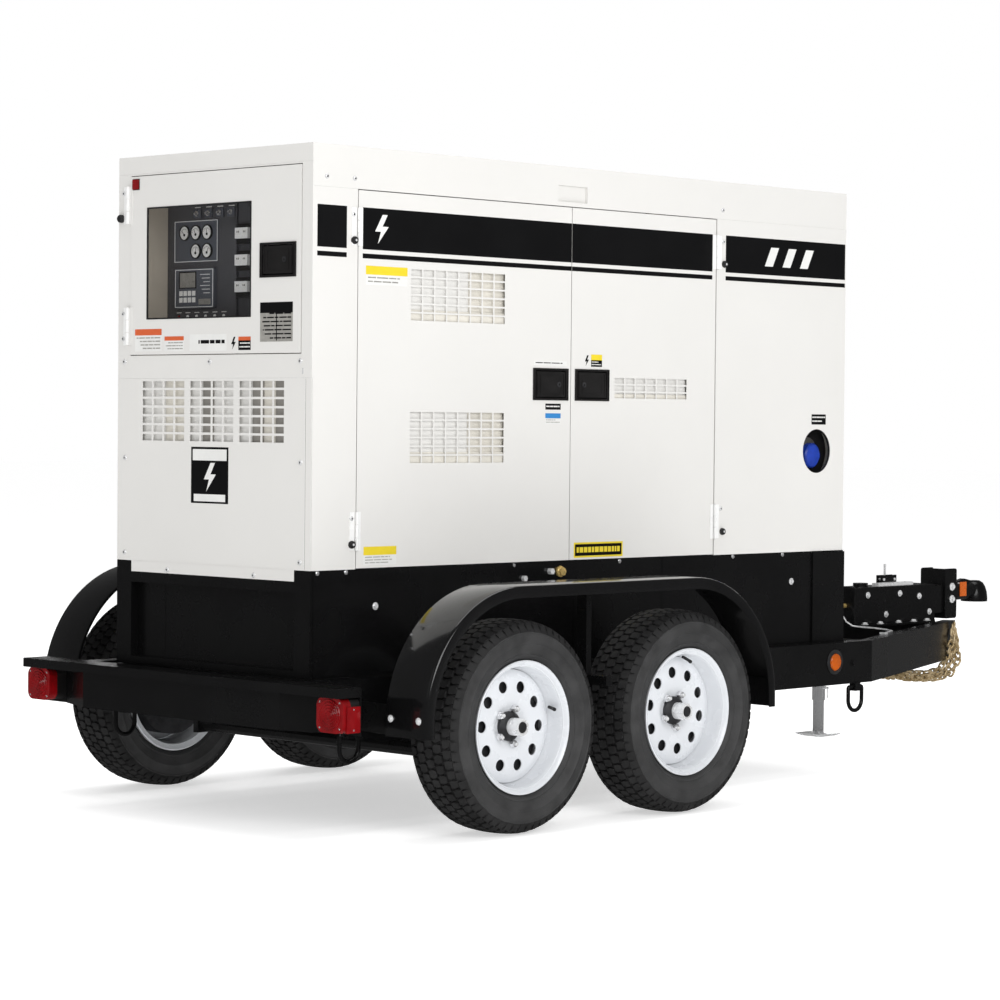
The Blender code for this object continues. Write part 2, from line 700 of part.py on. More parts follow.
def frame_rail(side):
    name = f"rail_{side_name(side)}"
    outline = rail_outline(side, 0.0, RAIL_WIDTH, RAIL_REAR)
    rail = plate(name, outline, "XY", RAIL_LOW, RAIL_TOP, "black_paint")
    channel = plate(
        name + "_channel",
        rail_outline(side, RAIL_WALL, RAIL_WIDTH + 0.01, RAIL_REAR - 0.1, 0.02),
        "XY",
        RAIL_LOW + RAIL_WALL,
        RAIL_TOP - RAIL_WALL,
    )
    cut(rail, channel)
    lugs = [
        ring_lug(f"{name}_lug_{index}", side, x) for index, x in enumerate((RING_REAR_X, RING_FRONT_X))
    ]
    brackets = [
        outrigger(f"{name}_rear_bracket", side, (0.0590, 0.0670), 0.330, 0.420),
        outrigger(f"{name}_middle_bracket", side, (0.861, 0.889), 0.440, 0.470),
        outrigger(f"{name}_front_bracket", side, (1.6850, 1.6930), 0.330, 0.420),
    ]
    middle = FENDER_CENTRE_Z + FENDER_RADIUS - 0.0035
    stay = side_block(f"{name}_fender_stay", side, (0.863, 0.887), (0.790, 0.830), (0.445, middle))
    return join(rail, *lugs, *brackets, stay)


def cross_member():
    reach, inset = RAIL_OUT - RAIL_WIDTH - GAP, 0.008
    low = (RAIL_REAR, -reach, RAIL_LOW + inset)
    return block("cross_member", low, (RAIL_REAR + 0.080, reach, RAIL_TOP - inset), "black_paint")


def rear_bumper():
    face, web = BUMPER_FACE_X, BUMPER_WEB_X
    half, narrow = 0.64, 0.48
    outline = [(web + 0.001, -half), (web + 0.001, half), (web - 0.006, half)]
    outline += [(face, narrow), (face, -narrow), (web - 0.006, -half)]
    bumper = plate("rear_bumper", outline, "XY", BUMPER_LOW, BUMPER_LIP_LOW + 0.001, "black_paint")
    wall, inner = 0.006, narrow - 0.01
    low = (face + wall, -inner, BUMPER_LOW - 0.1)
    cut(bumper, block("bumper_hollow", low, (web - 0.004, inner, BUMPER_LIP_LOW - 0.01)))
    lip = block("bumper_lip", (REAR_END, -BUMPER_HALF, BUMPER_LIP_LOW), (web + 0.005, BUMPER_HALF, RAIL_TOP))
    back = block("bumper_web", (web, -BUMPER_HALF, BUMPER_LOW), (web + 0.005, BUMPER_HALF, RAIL_TOP - 0.001))
    return join(bumper, lip, back)


def tail_light(side):
    name = f"tail_light_{side_name(side)}"
    lamp = side_block(name, side, (-0.140, BUMPER_WEB_X - GAP), LAMP_Y, LAMP_Z, "red_lens")
    outer = LAMP_Y[1]
    marker_y = (outer - 0.002, outer + 0.006)
    marker = side_block(name + "_marker", side, (-0.122, -0.068), marker_y, (LAMP_Z[0] + 0.001, 0.423))
    return join(softened(lamp, 0.004), marker)


def marker_lamp(side):
    x, z = 2.511, 0.409
    name = f"marker_lamp_{side_name(side)}"
    profile = ((0.0, 0.012), (0.024, 0.009), (0.031, 0.005), (0.046, 0.004), (0.046, 0.0), (0.0, 0.0))
    centre = (x, side * (RAIL_OUT + GAP), z)
    return turned(name, profile, centre, (0, side, 0), 16, "amber_lens")


def fender_line(offset):
    """The arch from the rear end to the front end, at an offset inside the outer face."""
    radius, steps = FENDER_RADIUS - offset, 8
    rear, front = FENDER_CENTRES
    line = [(rear - radius, FENDER_LOW)]
    for centre, start in ((rear, 180), (front, 90)):
        for index in range(steps + 1):
            angle = radians(start - 90 * index / steps)
            line.append((centre + radius * cos(angle), FENDER_CENTRE_Z + radius * sin(angle)))
    line.append((front + radius, FENDER_LOW))
    return line


def fender_outline(outer, inner):
    return fender_line(outer) + fender_line(inner)[::-1]


def fender(side):
    """A teardrop fender over both wheels: an arched sheet with a lip along its outer edge."""
    name = f"fender_{side_name(side)}"
    width = y_span(side, FENDER_INNER, FENDER_OUTER)
    sheet = plate(name, fender_outline(0.0, SHEET), "XZ", *width, "black_paint")
    edge = y_span(side, FENDER_OUTER - SHEET, FENDER_OUTER - 0.0005)
    return join(sheet, plate(name + "_lip", fender_outline(0.001, FENDER_LIP), "XZ", *edge))


def axle(place, x):
    """A drop axle: a beam low between the springs, with plates up to the spindles."""
    beam = drum(f"axle_{place}", (x, -0.60, 0.235), (x, 0.60, 0.235), 0.030, 12, "black_paint")
    parts = []
    for side in (-1, 1):
        end = side_name(side)
        across = (x - 0.034, x + 0.034)
        parts.append(side_block(f"axle_plate_{place}_{end}", side, across, (0.590, 0.615), (0.201, 0.372)))
        start, tip = (x, side * 0.610, AXLE_Z), (x, side * 0.7285, AXLE_Z)
        parts.append(drum(f"spindle_{place}_{end}", start, tip, 0.030, 12))
    return join(beam, *parts)


def leaf_outline(x):
    """A leaf spring seen from the side: an arc that is lowest where it rests on the axle."""
    steps = 8
    low, reach, rise, thickness = 0.2655, 0.335, 0.030, 0.018
    top, bottom = [], []
    for index in range(steps + 1):
        share = 2 * index / steps - 1
        height = low + rise * share * share
        bottom.append((x + reach * share, height))
        top.append((x + reach * share, height + thickness))
    return bottom + top[::-1]


def springs(side):
    """The two leaf springs of one side, with their hangers and the equaliser between them."""
    name = f"springs_{side_name(side)}"
    width = y_span(side, 0.503, 0.545)
    first = plate(name, leaf_outline(AXLES[0]), "XZ", *width, "black_paint")
    second = plate(name + "_front", leaf_outline(AXLES[1]), "XZ", *width)
    hangers = [
        side_block(f"{name}_hanger_{index}", side, x, (0.506, 0.542), (0.288, RAIL_LOW - GAP))
        for index, x in enumerate(((0.160, 0.195), (0.790, 0.960), (1.560, 1.595)))
    ]
    return join(first, second, *hangers)


def lashing_ring(name, side, x):
    """A bent bar: a straight top that hangs in the lug, two legs and a round bottom."""
    y = side * RING_Y
    points = [(x - RING_BEND, y, RING_TOP), (x, y, RING_TOP), (x + RING_BEND, y, RING_TOP)]
    steps = 8
    for index in range(steps + 1):
        angle = -pi * index / steps
        points.append((x + RING_BEND * cos(angle), y, RING_CENTRE + RING_BEND * sin(angle)))
    ring = bar(name, points, RING_BAR, "black_paint", closed=True)
    return hang(ring, (x, y, RING_TOP))


# Wheels


def tyre(name, side, x):
    """A tyre, turned about the axle, with rounded shoulders and a bead on each side."""
    half, outer = TYRE_HALF, TYRE_RADIUS
    bead, bore = 0.0725, RIM_BEAD + 0.0015
    profile = (
        (outer - 0.024, half - 0.012),
        (outer, 0.050),
        (outer, -0.050),
        (outer - 0.024, 0.012 - half),
        (0.270, -half),
        (0.212, -bead - 0.002),
        (bore, -bead),
        (bore, bead),
        (0.212, bead + 0.002),
        (0.270, half),
    )
    centre = (x, side * WHEEL_MID, AXLE_Z)
    return turned(name, profile, centre, (0, side, 0), TYRE_STEPS, "rubber")


def wheel(name, side, x):
    """A steel wheel with its disc, vent holes and hub, which turns on the spindle."""
    lip, barrel, disc = 0.0855, 0.184, 0.018
    profile = (
        (RIM_LIP, lip),
        (RIM_LIP, lip - 0.006),
        (RIM_BEAD, lip - 0.010),
        (RIM_BEAD, -lip),
        (RIM_LIP, -lip - 0.010),
        (barrel, -lip - 0.004),
        (barrel, disc),
        (0.046, disc),
        (0.046, disc + 0.007),
        (barrel - 0.012, disc + 0.012),
        (barrel - 0.002, 0.060),
        (RIM_LIP - 0.010, lip),
    )
    centre = Vector((x, side * WHEEL_MID, AXLE_Z))
    rim = turned(name, profile, centre, (0, side, 0), 24, "white_rim")
    outward = Vector((0, side, 0))
    holes = []
    circle, through = 0.1265, outward * 0.1
    for index in range(WHEEL_HOLES):
        angle = 2 * pi * (index + 0.5) / WHEEL_HOLES
        spot = centre + Vector((circle * cos(angle), 0, circle * sin(angle)))
        holes.append(drum(f"{name}_hole_{index}", spot - through, spot + through, 0.018, 6))
    hub = drum(name + "_hub", centre - outward * 0.100, centre + outward * 0.045, 0.050, 12)
    cap = drum(name + "_cap", centre + outward * 0.04, centre + outward * 0.083, 0.028, 12)
    return join(cut(rim, *holes), hub, cap)


# Jack, actuator and hitch


def jack_tube():
    tube = drum("jack_tube", (JACK_X, 0, JACK_TUBE_LOW), (JACK_X, 0, JACK_TUBE_TOP), JACK_TUBE, 16, "zinc")
    arm = block("jack_arm", (3.075, -0.316, 0.400), (3.165, 0.316, 0.440))
    head = drum("jack_head", (JACK_X, 0, 0.790), (JACK_X, 0, 0.868), 0.034, 16)
    bore = drum("jack_bore", (JACK_X, 0, 0.1), (JACK_X, 0, 0.775), JACK_BORE, 16)
    shaft = drum("crank_bore", (JACK_X, 0.020, CRANK_Z), (JACK_X, 0.060, CRANK_Z), 0.0085, 8)
    return cut(join(tube, arm, head), bore, shaft)


def jack_leg():
    leg = drum("jack_leg", (JACK_X, 0, 0.060), (JACK_X, 0, 0.640), JACK_LEG - 0.0004, 16, "zinc")
    half, low, rim = 0.0635, 0.055, 0.006
    foot = block("jack_foot", (JACK_X - half, -half, low), (JACK_X + half, half, low + 0.006))
    rims = [
        block(f"foot_rim_{index}", (x, -half, low + 0.001), (x + rim, half, low + 0.014))
        for index, x in enumerate((JACK_X - half, JACK_X + half - rim))
    ]
    return hang(join(leg, foot, *rims), (JACK_X, 0, low))


def jack_crank():
    """A side-wind crank: shaft, arm and grip."""
    half, reach = 0.010, CRANK_Z + 0.138
    pivot = (JACK_X, 0.022, CRANK_Z)
    shaft = drum("jack_crank", pivot, (JACK_X, 0.075, CRANK_Z), 0.0075, 8, "zinc")
    arm = block("crank_arm", (JACK_X - half, 0.066, CRANK_Z - half), (JACK_X + half, 0.072, reach + 0.012))
    grip = drum("crank_grip", (JACK_X, 0.070, reach), (JACK_X, 0.165, reach), 0.012, 8)
    return hang(join(shaft, arm, grip), pivot)


def brake_actuator():
    """The fixed case of the surge brake, open in front for its slide, with cheeks for the lever."""
    (start, end), half, (low, high) = ACTUATOR_X, ACTUATOR_HALF, ACTUATOR_Z
    case = softened(block("brake_actuator", (start, -half, low), (end, half, high), "black_paint"), 0.003)
    inner = half - 0.007
    cut(case, block("actuator_hollow", (start + 0.10, -inner, 0.5105), (end + 0.1, inner, 0.6245)))
    cheeks = [
        block(f"lever_cheek_{index}", (3.500, low_y, high - 0.002), (3.600, low_y + 0.005, 0.672))
        for index, low_y in enumerate((-0.013, 0.008))
    ]
    cap = drum("reservoir_cap", (3.38, 0, high - 0.002), (3.38, 0, high + 0.014), 0.030, 12)
    base = block("cheek_base", (3.49, -0.022, high - 0.002), (3.62, 0.022, high + 0.004))
    flange = block("actuator_flange", (start, -0.105, low), (end - 0.06, 0.105, low + 0.008))
    return join(case, cap, base, flange, *cheeks)


def coupler():
    """The sliding half of the brake: a slide, a channel that sets the height, and a ball socket."""
    back, front = CHANNEL_X
    rear_x = 3.450
    slide = block("coupler", (rear_x, -0.0525, 0.511), (back + 0.002, 0.0525, 0.624), "black_paint")
    channel = block("coupler_channel", (back, -0.062, 0.486), (front, 0.062, 0.690))
    groove = block("channel_groove", (back + 0.010, -0.054, 0.4), (front + 0.1, 0.054, 0.8))
    shank = block("coupler_shank", (back + 0.008, -0.045, 0.560), (front + 0.03, 0.045, 0.625))
    neck = drum("coupler_neck", (front + 0.02, 0, COUPLER_Z), (BALL_X - 0.02, 0, COUPLER_Z), 0.036, 12)
    head = drum("coupler_head", (BALL_X, 0, 0.545), (BALL_X, 0, 0.632), 0.055, 16, end_radius=0.030)
    socket = drum("ball_socket", (BALL_X, 0, 0.500), (BALL_X, 0, 0.602), 0.031, 16)
    handle = block("coupler_handle", (4.010, -0.012, 0.615), (4.115, 0.012, 0.642))
    hollow = block("slide_hollow", (3.4, -0.0465, 0.517), (3.800, 0.0465, 0.618))
    piece = join(cut(slide, hollow), cut(channel, groove), shank, neck, head, handle)
    return hang(cut(piece, socket), (rear_x, 0, COUPLER_Z))


def breakaway_lever():
    half = 0.0075
    ends = ((LEVER_X, -half, LEVER_Z), (LEVER_X, half, LEVER_Z))
    pin = drum("breakaway_lever", *ends, 0.0065, 10, "zinc")
    arm = block("lever_arm", (LEVER_X - 0.006, -0.003, LEVER_Z), (LEVER_X + 0.004, 0.003, 0.716))
    return hang(join(pin, arm), (LEVER_X, 0, LEVER_Z))


def safety_chains():
    """Both chains, as one swag: from the right shackle under the nose to the left shackle."""
    half = (
        (3.850, 0.117, 0.432),
        (3.872, 0.124, 0.380),
        (3.876, 0.120, 0.315),
        (3.850, 0.108, 0.268),
        (3.790, 0.092, 0.250),
        (3.700, 0.072, 0.247),
        (3.610, 0.052, 0.256),
        (3.540, 0.030, 0.272),
        (3.510, 0.010, 0.280),
    )
    route = [(x, -y, z) for x, y, z in half] + list(reversed(half))
    return bar("safety_chains", route, 0.013, "gold_zinc")


def build():
    roof_panel()
    rear_frame_panel()
    rear_lower_panel()
    front_panel()
    control_door()
    control_window()
    control_latch()
    control_panel()
    alternator()
    engine()
    cooling_fan()
    radiator()
    muffler()
    fluid_tank()
    battery()
    fuel_tank()
    skid_base()
    cross_member()
    rear_bumper()
    axle("rear", AXLES[0])
    axle("front", AXLES[1])
    for side in (-1, 1):
        side_panel(side)
        grilles = ((*GRILLE_X, *GRILLE_LOWER, 8), (*GRILLE_X, *GRILLE_UPPER, 8))
        rear_x = (POST_WIDTH + 0.003, DOOR_SEAM - 0.0015)
        front_x = (DOOR_SEAM + 0.0015, DOOR_FRONT - 0.003)
        side_door("rear", side, POST_WIDTH, rear_x, grilles, LATCH_REAR)
        side_door("front", side, DOOR_FRONT, front_x, ((*GRILLE_FRONT, 7),), LATCH_FRONT)
        side_latch("rear", side, LATCH_REAR, True)
        side_latch("front", side, LATCH_FRONT, False)
        frame_rail(side)
        fender(side)
        springs(side)
        tail_light(side)
        marker_lamp(side)
        lashing_ring(f"lashing_ring_rear_{side_name(side)}", side, RING_REAR_X)
        lashing_ring(f"lashing_ring_front_{side_name(side)}", side, RING_FRONT_X)
        for place, x in zip(("rear", "front"), AXLES):
            tyre(f"tyre_{place}_{side_name(side)}", side, x)
            wheel(f"wheel_{place}_{side_name(side)}", side, x)
    jack_tube()
    jack_leg()
    jack_crank()
    brake_actuator()
    coupler()
    breakaway_lever()
    safety_chains()


build()
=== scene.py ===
"""The looks of a towable diesel generator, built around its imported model.

Lengths are in metres. The builders take positions measured from the rear face of the enclosure,
the centre line and the ground, as the CAD does, and SHIFT moves them into the row frame.
"""

import random
from math import atan2, cos, hypot, pi, radians, sin, sqrt

import bmesh
import bpy
from mathutils import Matrix, Vector


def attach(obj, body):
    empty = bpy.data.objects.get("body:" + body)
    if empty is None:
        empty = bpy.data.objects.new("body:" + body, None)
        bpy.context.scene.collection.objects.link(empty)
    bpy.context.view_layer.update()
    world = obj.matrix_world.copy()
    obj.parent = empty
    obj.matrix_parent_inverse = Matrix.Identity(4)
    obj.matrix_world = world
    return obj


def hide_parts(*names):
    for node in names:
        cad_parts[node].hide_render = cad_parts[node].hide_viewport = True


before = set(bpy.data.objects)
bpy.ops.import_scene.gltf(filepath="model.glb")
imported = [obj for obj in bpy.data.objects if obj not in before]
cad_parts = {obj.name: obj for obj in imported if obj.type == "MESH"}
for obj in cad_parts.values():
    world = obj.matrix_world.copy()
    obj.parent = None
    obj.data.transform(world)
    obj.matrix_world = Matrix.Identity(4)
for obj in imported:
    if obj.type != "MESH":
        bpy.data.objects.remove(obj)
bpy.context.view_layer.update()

SHIFT = -2.0275
BODY_HALF = 0.4706
BODY_TOP = 2.124
BODY_FRONT = 2.651
AXLES = {"rear": 0.486, "front": 1.263}
AXLE_Z = 0.336 * cos(pi / 24)
WHEEL_MID = 0.8325
SIDES = {"right": -1, "left": 1}
BACK, UP = (-1, 0, 0), (0, 0, 1)


# Camera, light and floor

def add_camera():
    """The photograph's viewpoint: low behind the right rear corner, with a long lens."""
    yaw, pitch, roll = radians(45.8568), radians(1.529), radians(0.5269)
    ahead = Vector((sin(yaw) * cos(pitch), cos(yaw) * cos(pitch), -sin(pitch)))
    level = Vector((cos(yaw), -sin(yaw), 0.0))
    above = level.cross(ahead)
    right = cos(roll) * level + sin(roll) * above
    up = cos(roll) * above - sin(roll) * level
    data = bpy.data.cameras.new("camera")
    data.sensor_width = 36.0
    data.lens = 108.91368
    data.clip_end = 200.0
    camera = bpy.data.objects.new("camera", data)
    turn = Matrix((right, up, -ahead)).transposed().to_4x4()
    camera.matrix_world = Matrix.Translation((-6.2456 + SHIFT, -7.3401, 1.2827)) @ turn
    bpy.context.scene.collection.objects.link(camera)
    bpy.context.scene.camera = camera


def add_light(name, place, aim, size, power):
    data = bpy.data.lights.new(name, "AREA")
    data.shape = "RECTANGLE"
    data.size, data.size_y = size
    data.energy = power
    light = bpy.data.objects.new(name, data)
    light.location = place
    light.rotation_euler = (Vector(aim) - Vector(place)).to_track_quat("-Z", "Y").to_euler()
    bpy.context.scene.collection.objects.link(light)


def add_stage():
    """A plain pale floor and soft light from all sides."""
    world = bpy.data.worlds.new("world")
    world.use_nodes = True
    tree = world.node_tree
    path = tree.nodes.new("ShaderNodeLightPath")
    previous = None
    for output, strength in (("Is Diffuse Ray", WORLD_DIFFUSE), ("Is Glossy Ray", WORLD_GLOSSY),
            ("Is Camera Ray", 1.0)):
        choose = tree.nodes.new("ShaderNodeMix")
        choose.inputs["B"].default_value = strength
        choose.inputs["A"].default_value = WORLD_DIFFUSE
        tree.links.new(path.outputs[output], choose.inputs["Factor"])
        if previous:
            tree.links.new(previous.outputs["Result"], choose.inputs["A"])
        previous = choose
    background = tree.nodes["Background"]
    background.inputs["Color"].default_value = (1.0, 1.0, 1.0, 1.0)
    tree.links.new(previous.outputs["Result"], background.inputs["Strength"])
    bpy.context.scene.world = world
    bpy.context.scene.view_settings.view_transform = "Standard"
    add_light("key", (-4.0, -7.5, 4.2), (-1.2, 0.0, 1.1), (5.5, 3.5), 268.0)
    add_light("fill", (-9.5, 1.5, 4.5), (-1.5, 0.0, 1.2), (4.0, 3.5), 10.0)
    add_light("top", (0.0, 0.0, 7.0), (0.0, 0.0, 0.0), (7.0, 4.0), 200.0)
    add_light("rim", (6.0, 7.0, 4.0), (0.0, 0.0, 1.0), (5.0, 3.0), 160.0)
    bm = bmesh.new()
    bmesh.ops.create_grid(bm, x_segments=8, y_segments=8, size=60.0)
    mesh = bpy.data.meshes.new("floor")
    bm.to_mesh(mesh)
    bm.free()
    floor = bpy.data.objects.new("floor", mesh)
    floor.location.z = -0.0015
    floor.visible_glossy = False
    floor.data.materials.append(MATERIALS["floor"])
    bpy.context.scene.collection.objects.link(floor)


WORLD_DIFFUSE, WORLD_GLOSSY = 0.52, 0.10


# Materials

def add_material(name, colour, rough, metal=0.0, coat=0.0, vary=0.04, scale=6.0, rough_vary=0.08,
                 grain=(0.0, 100.0), dirt=0.0, other=None, sheen=0.0, alpha=1.0, specular=0.5, painted_glow=0.0):
    """A Principled material with noise in its colour and roughness, and a fine surface grain.

    vary is how far the colour shifts, grain is (depth, scale) of the bump, dirt adds dust that
    gathers low down, and other is a second colour that shows in patches.
    """
    material = bpy.data.materials.new(name)
    material.use_nodes = True
    tree = material.node_tree
    nodes, link = tree.nodes, tree.links.new
    shader = nodes["Principled BSDF"]
    shader.inputs["Metallic"].default_value = metal
    shader.inputs["Coat Weight"].default_value = coat
    shader.inputs["Coat Roughness"].default_value = 0.06
    shader.inputs["Specular IOR Level"].default_value = specular
    # Emission here is painted light: painted_glow makes a part that is no lamp glow faintly in its own
    # colour.
    shader.inputs["Emission Color"].default_value = (*colour, 1.0)
    shader.inputs["Emission Strength"].default_value = painted_glow
    shader.inputs["Sheen Weight"].default_value = sheen
    shader.inputs["Alpha"].default_value = alpha
    where = nodes.new("ShaderNodeTexCoord")
    patches = nodes.new("ShaderNodeTexNoise")
    patches.inputs["Scale"].default_value = scale
    patches.inputs["Detail"].default_value = 5.0
    patches.inputs["Roughness"].default_value = 0.6
    link(where.outputs["Object"], patches.inputs["Vector"])
    ramp = nodes.new("ShaderNodeValToRGB")
    low = [max(0.0, c * (1 - vary)) for c in colour]
    high = other or [min(1.0, c * (1 + vary)) for c in colour]
    ramp.color_ramp.elements[0].position = 0.35
    ramp.color_ramp.elements[0].color = (*low, 1.0)
    ramp.color_ramp.elements[1].position = 0.65
    ramp.color_ramp.elements[1].color = (*high, 1.0)
    link(patches.outputs["Fac"], ramp.inputs["Fac"])
    tint = ramp.outputs["Color"]
    if dirt:
        split = nodes.new("ShaderNodeSeparateXYZ")
        link(where.outputs["Object"], split.inputs["Vector"])
        height = nodes.new("ShaderNodeMapRange")
        height.inputs["From Min"].default_value = 1.0
        height.inputs["From Max"].default_value = 0.0
        height.inputs["To Max"].default_value = dirt
        link(split.outputs["Z"], height.inputs["Value"])
        dust = nodes.new("ShaderNodeMath")
        dust.operation = "MULTIPLY"
        link(height.outputs["Result"], dust.inputs[0])
        link(patches.outputs["Fac"], dust.inputs[1])
        mix = nodes.new("ShaderNodeMix")
        mix.data_type = "RGBA"
        mix.inputs["B"].default_value = (0.30, 0.28, 0.25, 1.0)
        link(dust.outputs["Value"], mix.inputs["Factor"])
        link(tint, mix.inputs["A"])
        tint = mix.outputs["Result"]
    link(tint, shader.inputs["Base Color"])
    spread = nodes.new("ShaderNodeMapRange")
    spread.inputs["From Min"].default_value = 0.3
    spread.inputs["From Max"].default_value = 0.7
    spread.inputs["To Min"].default_value = max(0.02, rough - rough_vary)
    spread.inputs["To Max"].default_value = min(1.0, rough + rough_vary)
    link(patches.outputs["Fac"], spread.inputs["Value"])
    link(spread.outputs["Result"], shader.inputs["Roughness"])
    depth, fineness = grain
    if depth:
        fine = nodes.new("ShaderNodeTexNoise")
        fine.inputs["Scale"].default_value = fineness
        fine.inputs["Detail"].default_value = 3.0
        link(where.outputs["Object"], fine.inputs["Vector"])
        bump = nodes.new("ShaderNodeBump")
        bump.inputs["Strength"].default_value = 1.0
        bump.inputs["Distance"].default_value = depth
        link(fine.outputs["Fac"], bump.inputs["Height"])
        link(bump.outputs["Normal"], shader.inputs["Normal"])
    MATERIALS[name] = material
    return material


def add_waves(name, scale, depth, direction="X"):
    """Adds moulded ridges, such as the prisms of a lens or the fins of a radiator, to a material."""
    tree = MATERIALS[name].node_tree
    nodes, link = tree.nodes, tree.links.new
    where = nodes.new("ShaderNodeTexCoord")
    wave = nodes.new("ShaderNodeTexWave")
    wave.bands_direction = direction
    wave.inputs["Scale"].default_value = scale
    wave.inputs["Distortion"].default_value = 0.0
    link(where.outputs["Object"], wave.inputs["Vector"])
    bump = nodes.new("ShaderNodeBump")
    bump.inputs["Distance"].default_value = depth
    link(wave.outputs["Fac"], bump.inputs["Height"])
    link(bump.outputs["Normal"], nodes["Principled BSDF"].inputs["Normal"])


MATERIALS = {}
BLACK = (0.0045, 0.0045, 0.0048)
add_material("floor", (0.93, 0.93, 0.93), 0.9, vary=0.004)
FLOOR_GLOW = 0.55
floor_shader = MATERIALS["floor"].node_tree.nodes["Principled BSDF"]
floor_shader.inputs["Emission Color"].default_value = (1.0, 1.0, 1.0, 1.0)
floor_shader.inputs["Emission Strength"].default_value = FLOOR_GLOW
add_material("ivory", (0.79, 0.78, 0.755), 0.36, coat=0.25, vary=0.012, scale=2.0,
        grain=(0.00015, 260.0))
# A darker copy of ivory: painted shade on the strips inside the door grilles.
add_material("ivory_painted_shade", (0.62, 0.60, 0.54), 0.6, vary=0.05, scale=3.0, grain=(0.0003, 120.0))
# A dark copy of the baffle colour: painted shade seen through some grille cells, and a seam line at the
# rear corner.
add_material("painted_shade_and_seam_grey", (0.30, 0.285, 0.26), 0.6, vary=0.08, scale=9.0, grain=(0.0006, 90.0))
add_material("hinge_white", (0.93, 0.93, 0.92), 0.3, coat=0.3, vary=0.012, scale=6.0,
        grain=(0.0001, 260.0))
add_material("baffle", (0.74, 0.71, 0.64), 0.6, vary=0.06, scale=9.0, grain=(0.0006, 90.0))
add_material("foam", (0.70, 0.68, 0.62), 0.95, vary=0.10, scale=26.0, grain=(0.004, 160.0), sheen=0.3)
add_material("black", BLACK, 0.26, coat=0.12, specular=0.3, vary=0.2, scale=3.0, grain=(0.00025, 90.0),
        dirt=0.008)
add_material("black_fender", BLACK, 0.14, coat=0.35, specular=0.4, vary=0.2, scale=3.0, rough_vary=0.04,
        grain=(0.0002, 40.0), dirt=0.004)
add_material("vinyl", (0.006, 0.006, 0.0066), 0.45, vary=0.1, scale=5.0, grain=(0.0001, 300.0),
        specular=0.15)
add_material("plastic", (0.013, 0.012, 0.012), 0.42, vary=0.2, scale=20.0, grain=(0.0004, 900.0))
add_material("soft_rubber", (0.018, 0.018, 0.019), 0.7, vary=0.3, scale=40.0, grain=(0.0004, 500.0))
add_material("tyre", (0.014, 0.014, 0.0148), 0.72, vary=0.25, scale=14.0, grain=(0.0006, 420.0),
        dirt=0.04)
# sidewall is a lighter copy of the tyre rubber: painted light on the flanks that face the key light.
add_material("sidewall", (0.040, 0.040, 0.041), 0.55, vary=0.2, scale=14.0, grain=(0.0004, 420.0),
        dirt=0.03)
add_material("rim", (0.74, 0.76, 0.79), 0.26, coat=0.4, vary=0.015, scale=8.0, grain=(0.0001, 220.0))
add_material("zinc", (0.88, 0.885, 0.89), 0.27, metal=0.35, vary=0.04, scale=24.0,
        grain=(0.0003, 260.0))
add_material("gold", (0.50, 0.36, 0.17), 0.28, metal=0.45, vary=0.2, scale=34.0, grain=(0.0004, 300.0),
        other=(0.66, 0.52, 0.32))
add_material("brass", (0.78, 0.56, 0.20), 0.25, metal=0.5, vary=0.15, scale=40.0, grain=(0.0003, 300.0))
add_material("chrome", (0.86, 0.86, 0.87), 0.10, metal=0.75, vary=0.04, scale=30.0, rough_vary=0.04,
        grain=(0.0002, 200.0))
add_material("hub_iron", (0.045, 0.045, 0.048), 0.5, metal=0.4, vary=0.3, scale=40.0,
        grain=(0.0006, 260.0))
add_material("dark", (0.004, 0.004, 0.004), 0.6, vary=0.2, scale=20.0)
add_material("red_lens", (0.22, 0.002, 0.004), 0.14, coat=0.5, vary=0.15, scale=30.0, rough_vary=0.03)
add_material("amber_lens", (0.55, 0.10, 0.004), 0.14, coat=0.5, vary=0.12, scale=30.0, rough_vary=0.03)
add_waves("red_lens", 90.0, 0.0005, "DIAGONAL")
add_waves("amber_lens", 90.0, 0.0008, "Z")
add_material("amber_tape", (0.58, 0.11, 0.008), 0.3, vary=0.1, scale=160.0, grain=(0.0004, 900.0))
add_material("window", (0.020, 0.020, 0.021), 0.04, vary=0.1, rough_vary=0.02, alpha=0.13)
add_material("panel", (0.10, 0.10, 0.11), 0.42, vary=0.08, scale=14.0, grain=(0.0003, 600.0))
# panel_wall, dial and receptacle glow faintly: painted light that brightens the dim space behind the
# control window.
add_material("panel_wall", (0.62, 0.56, 0.47), 0.5, vary=0.1, scale=5.0, grain=(0.0003, 200.0),
        painted_glow=0.06)
add_material("instrument", (0.12, 0.13, 0.155), 0.35, vary=0.06, scale=14.0, grain=(0.0002, 700.0))
add_material("dial", (0.90, 0.90, 0.88), 0.35, coat=0.6, vary=0.03, scale=40.0, painted_glow=0.10)
add_material("receptacle", (0.86, 0.87, 0.87), 0.45, vary=0.06, scale=30.0, grain=(0.0003, 500.0),
        painted_glow=0.12)
add_material("label_white", (0.82, 0.82, 0.80), 0.45, vary=0.03, scale=20.0, grain=(0.0001, 300.0))
add_material("label_grey", (0.40, 0.39, 0.36), 0.35, metal=0.2, vary=0.12, scale=60.0,
        grain=(0.0001, 500.0))
add_material("label_yellow", (0.85, 0.66, 0.02), 0.45, vary=0.04, scale=20.0, grain=(0.0001, 300.0))
add_material("label_orange", (0.70, 0.12, 0.03), 0.45, vary=0.05, scale=20.0, grain=(0.0001, 300.0))
add_material("label_blue", (0.03, 0.25, 0.62), 0.45, vary=0.05, scale=20.0, grain=(0.0001, 300.0))
add_material("cap_blue", (0.012, 0.05, 0.42), 0.35, vary=0.12, scale=40.0, grain=(0.0004, 500.0))
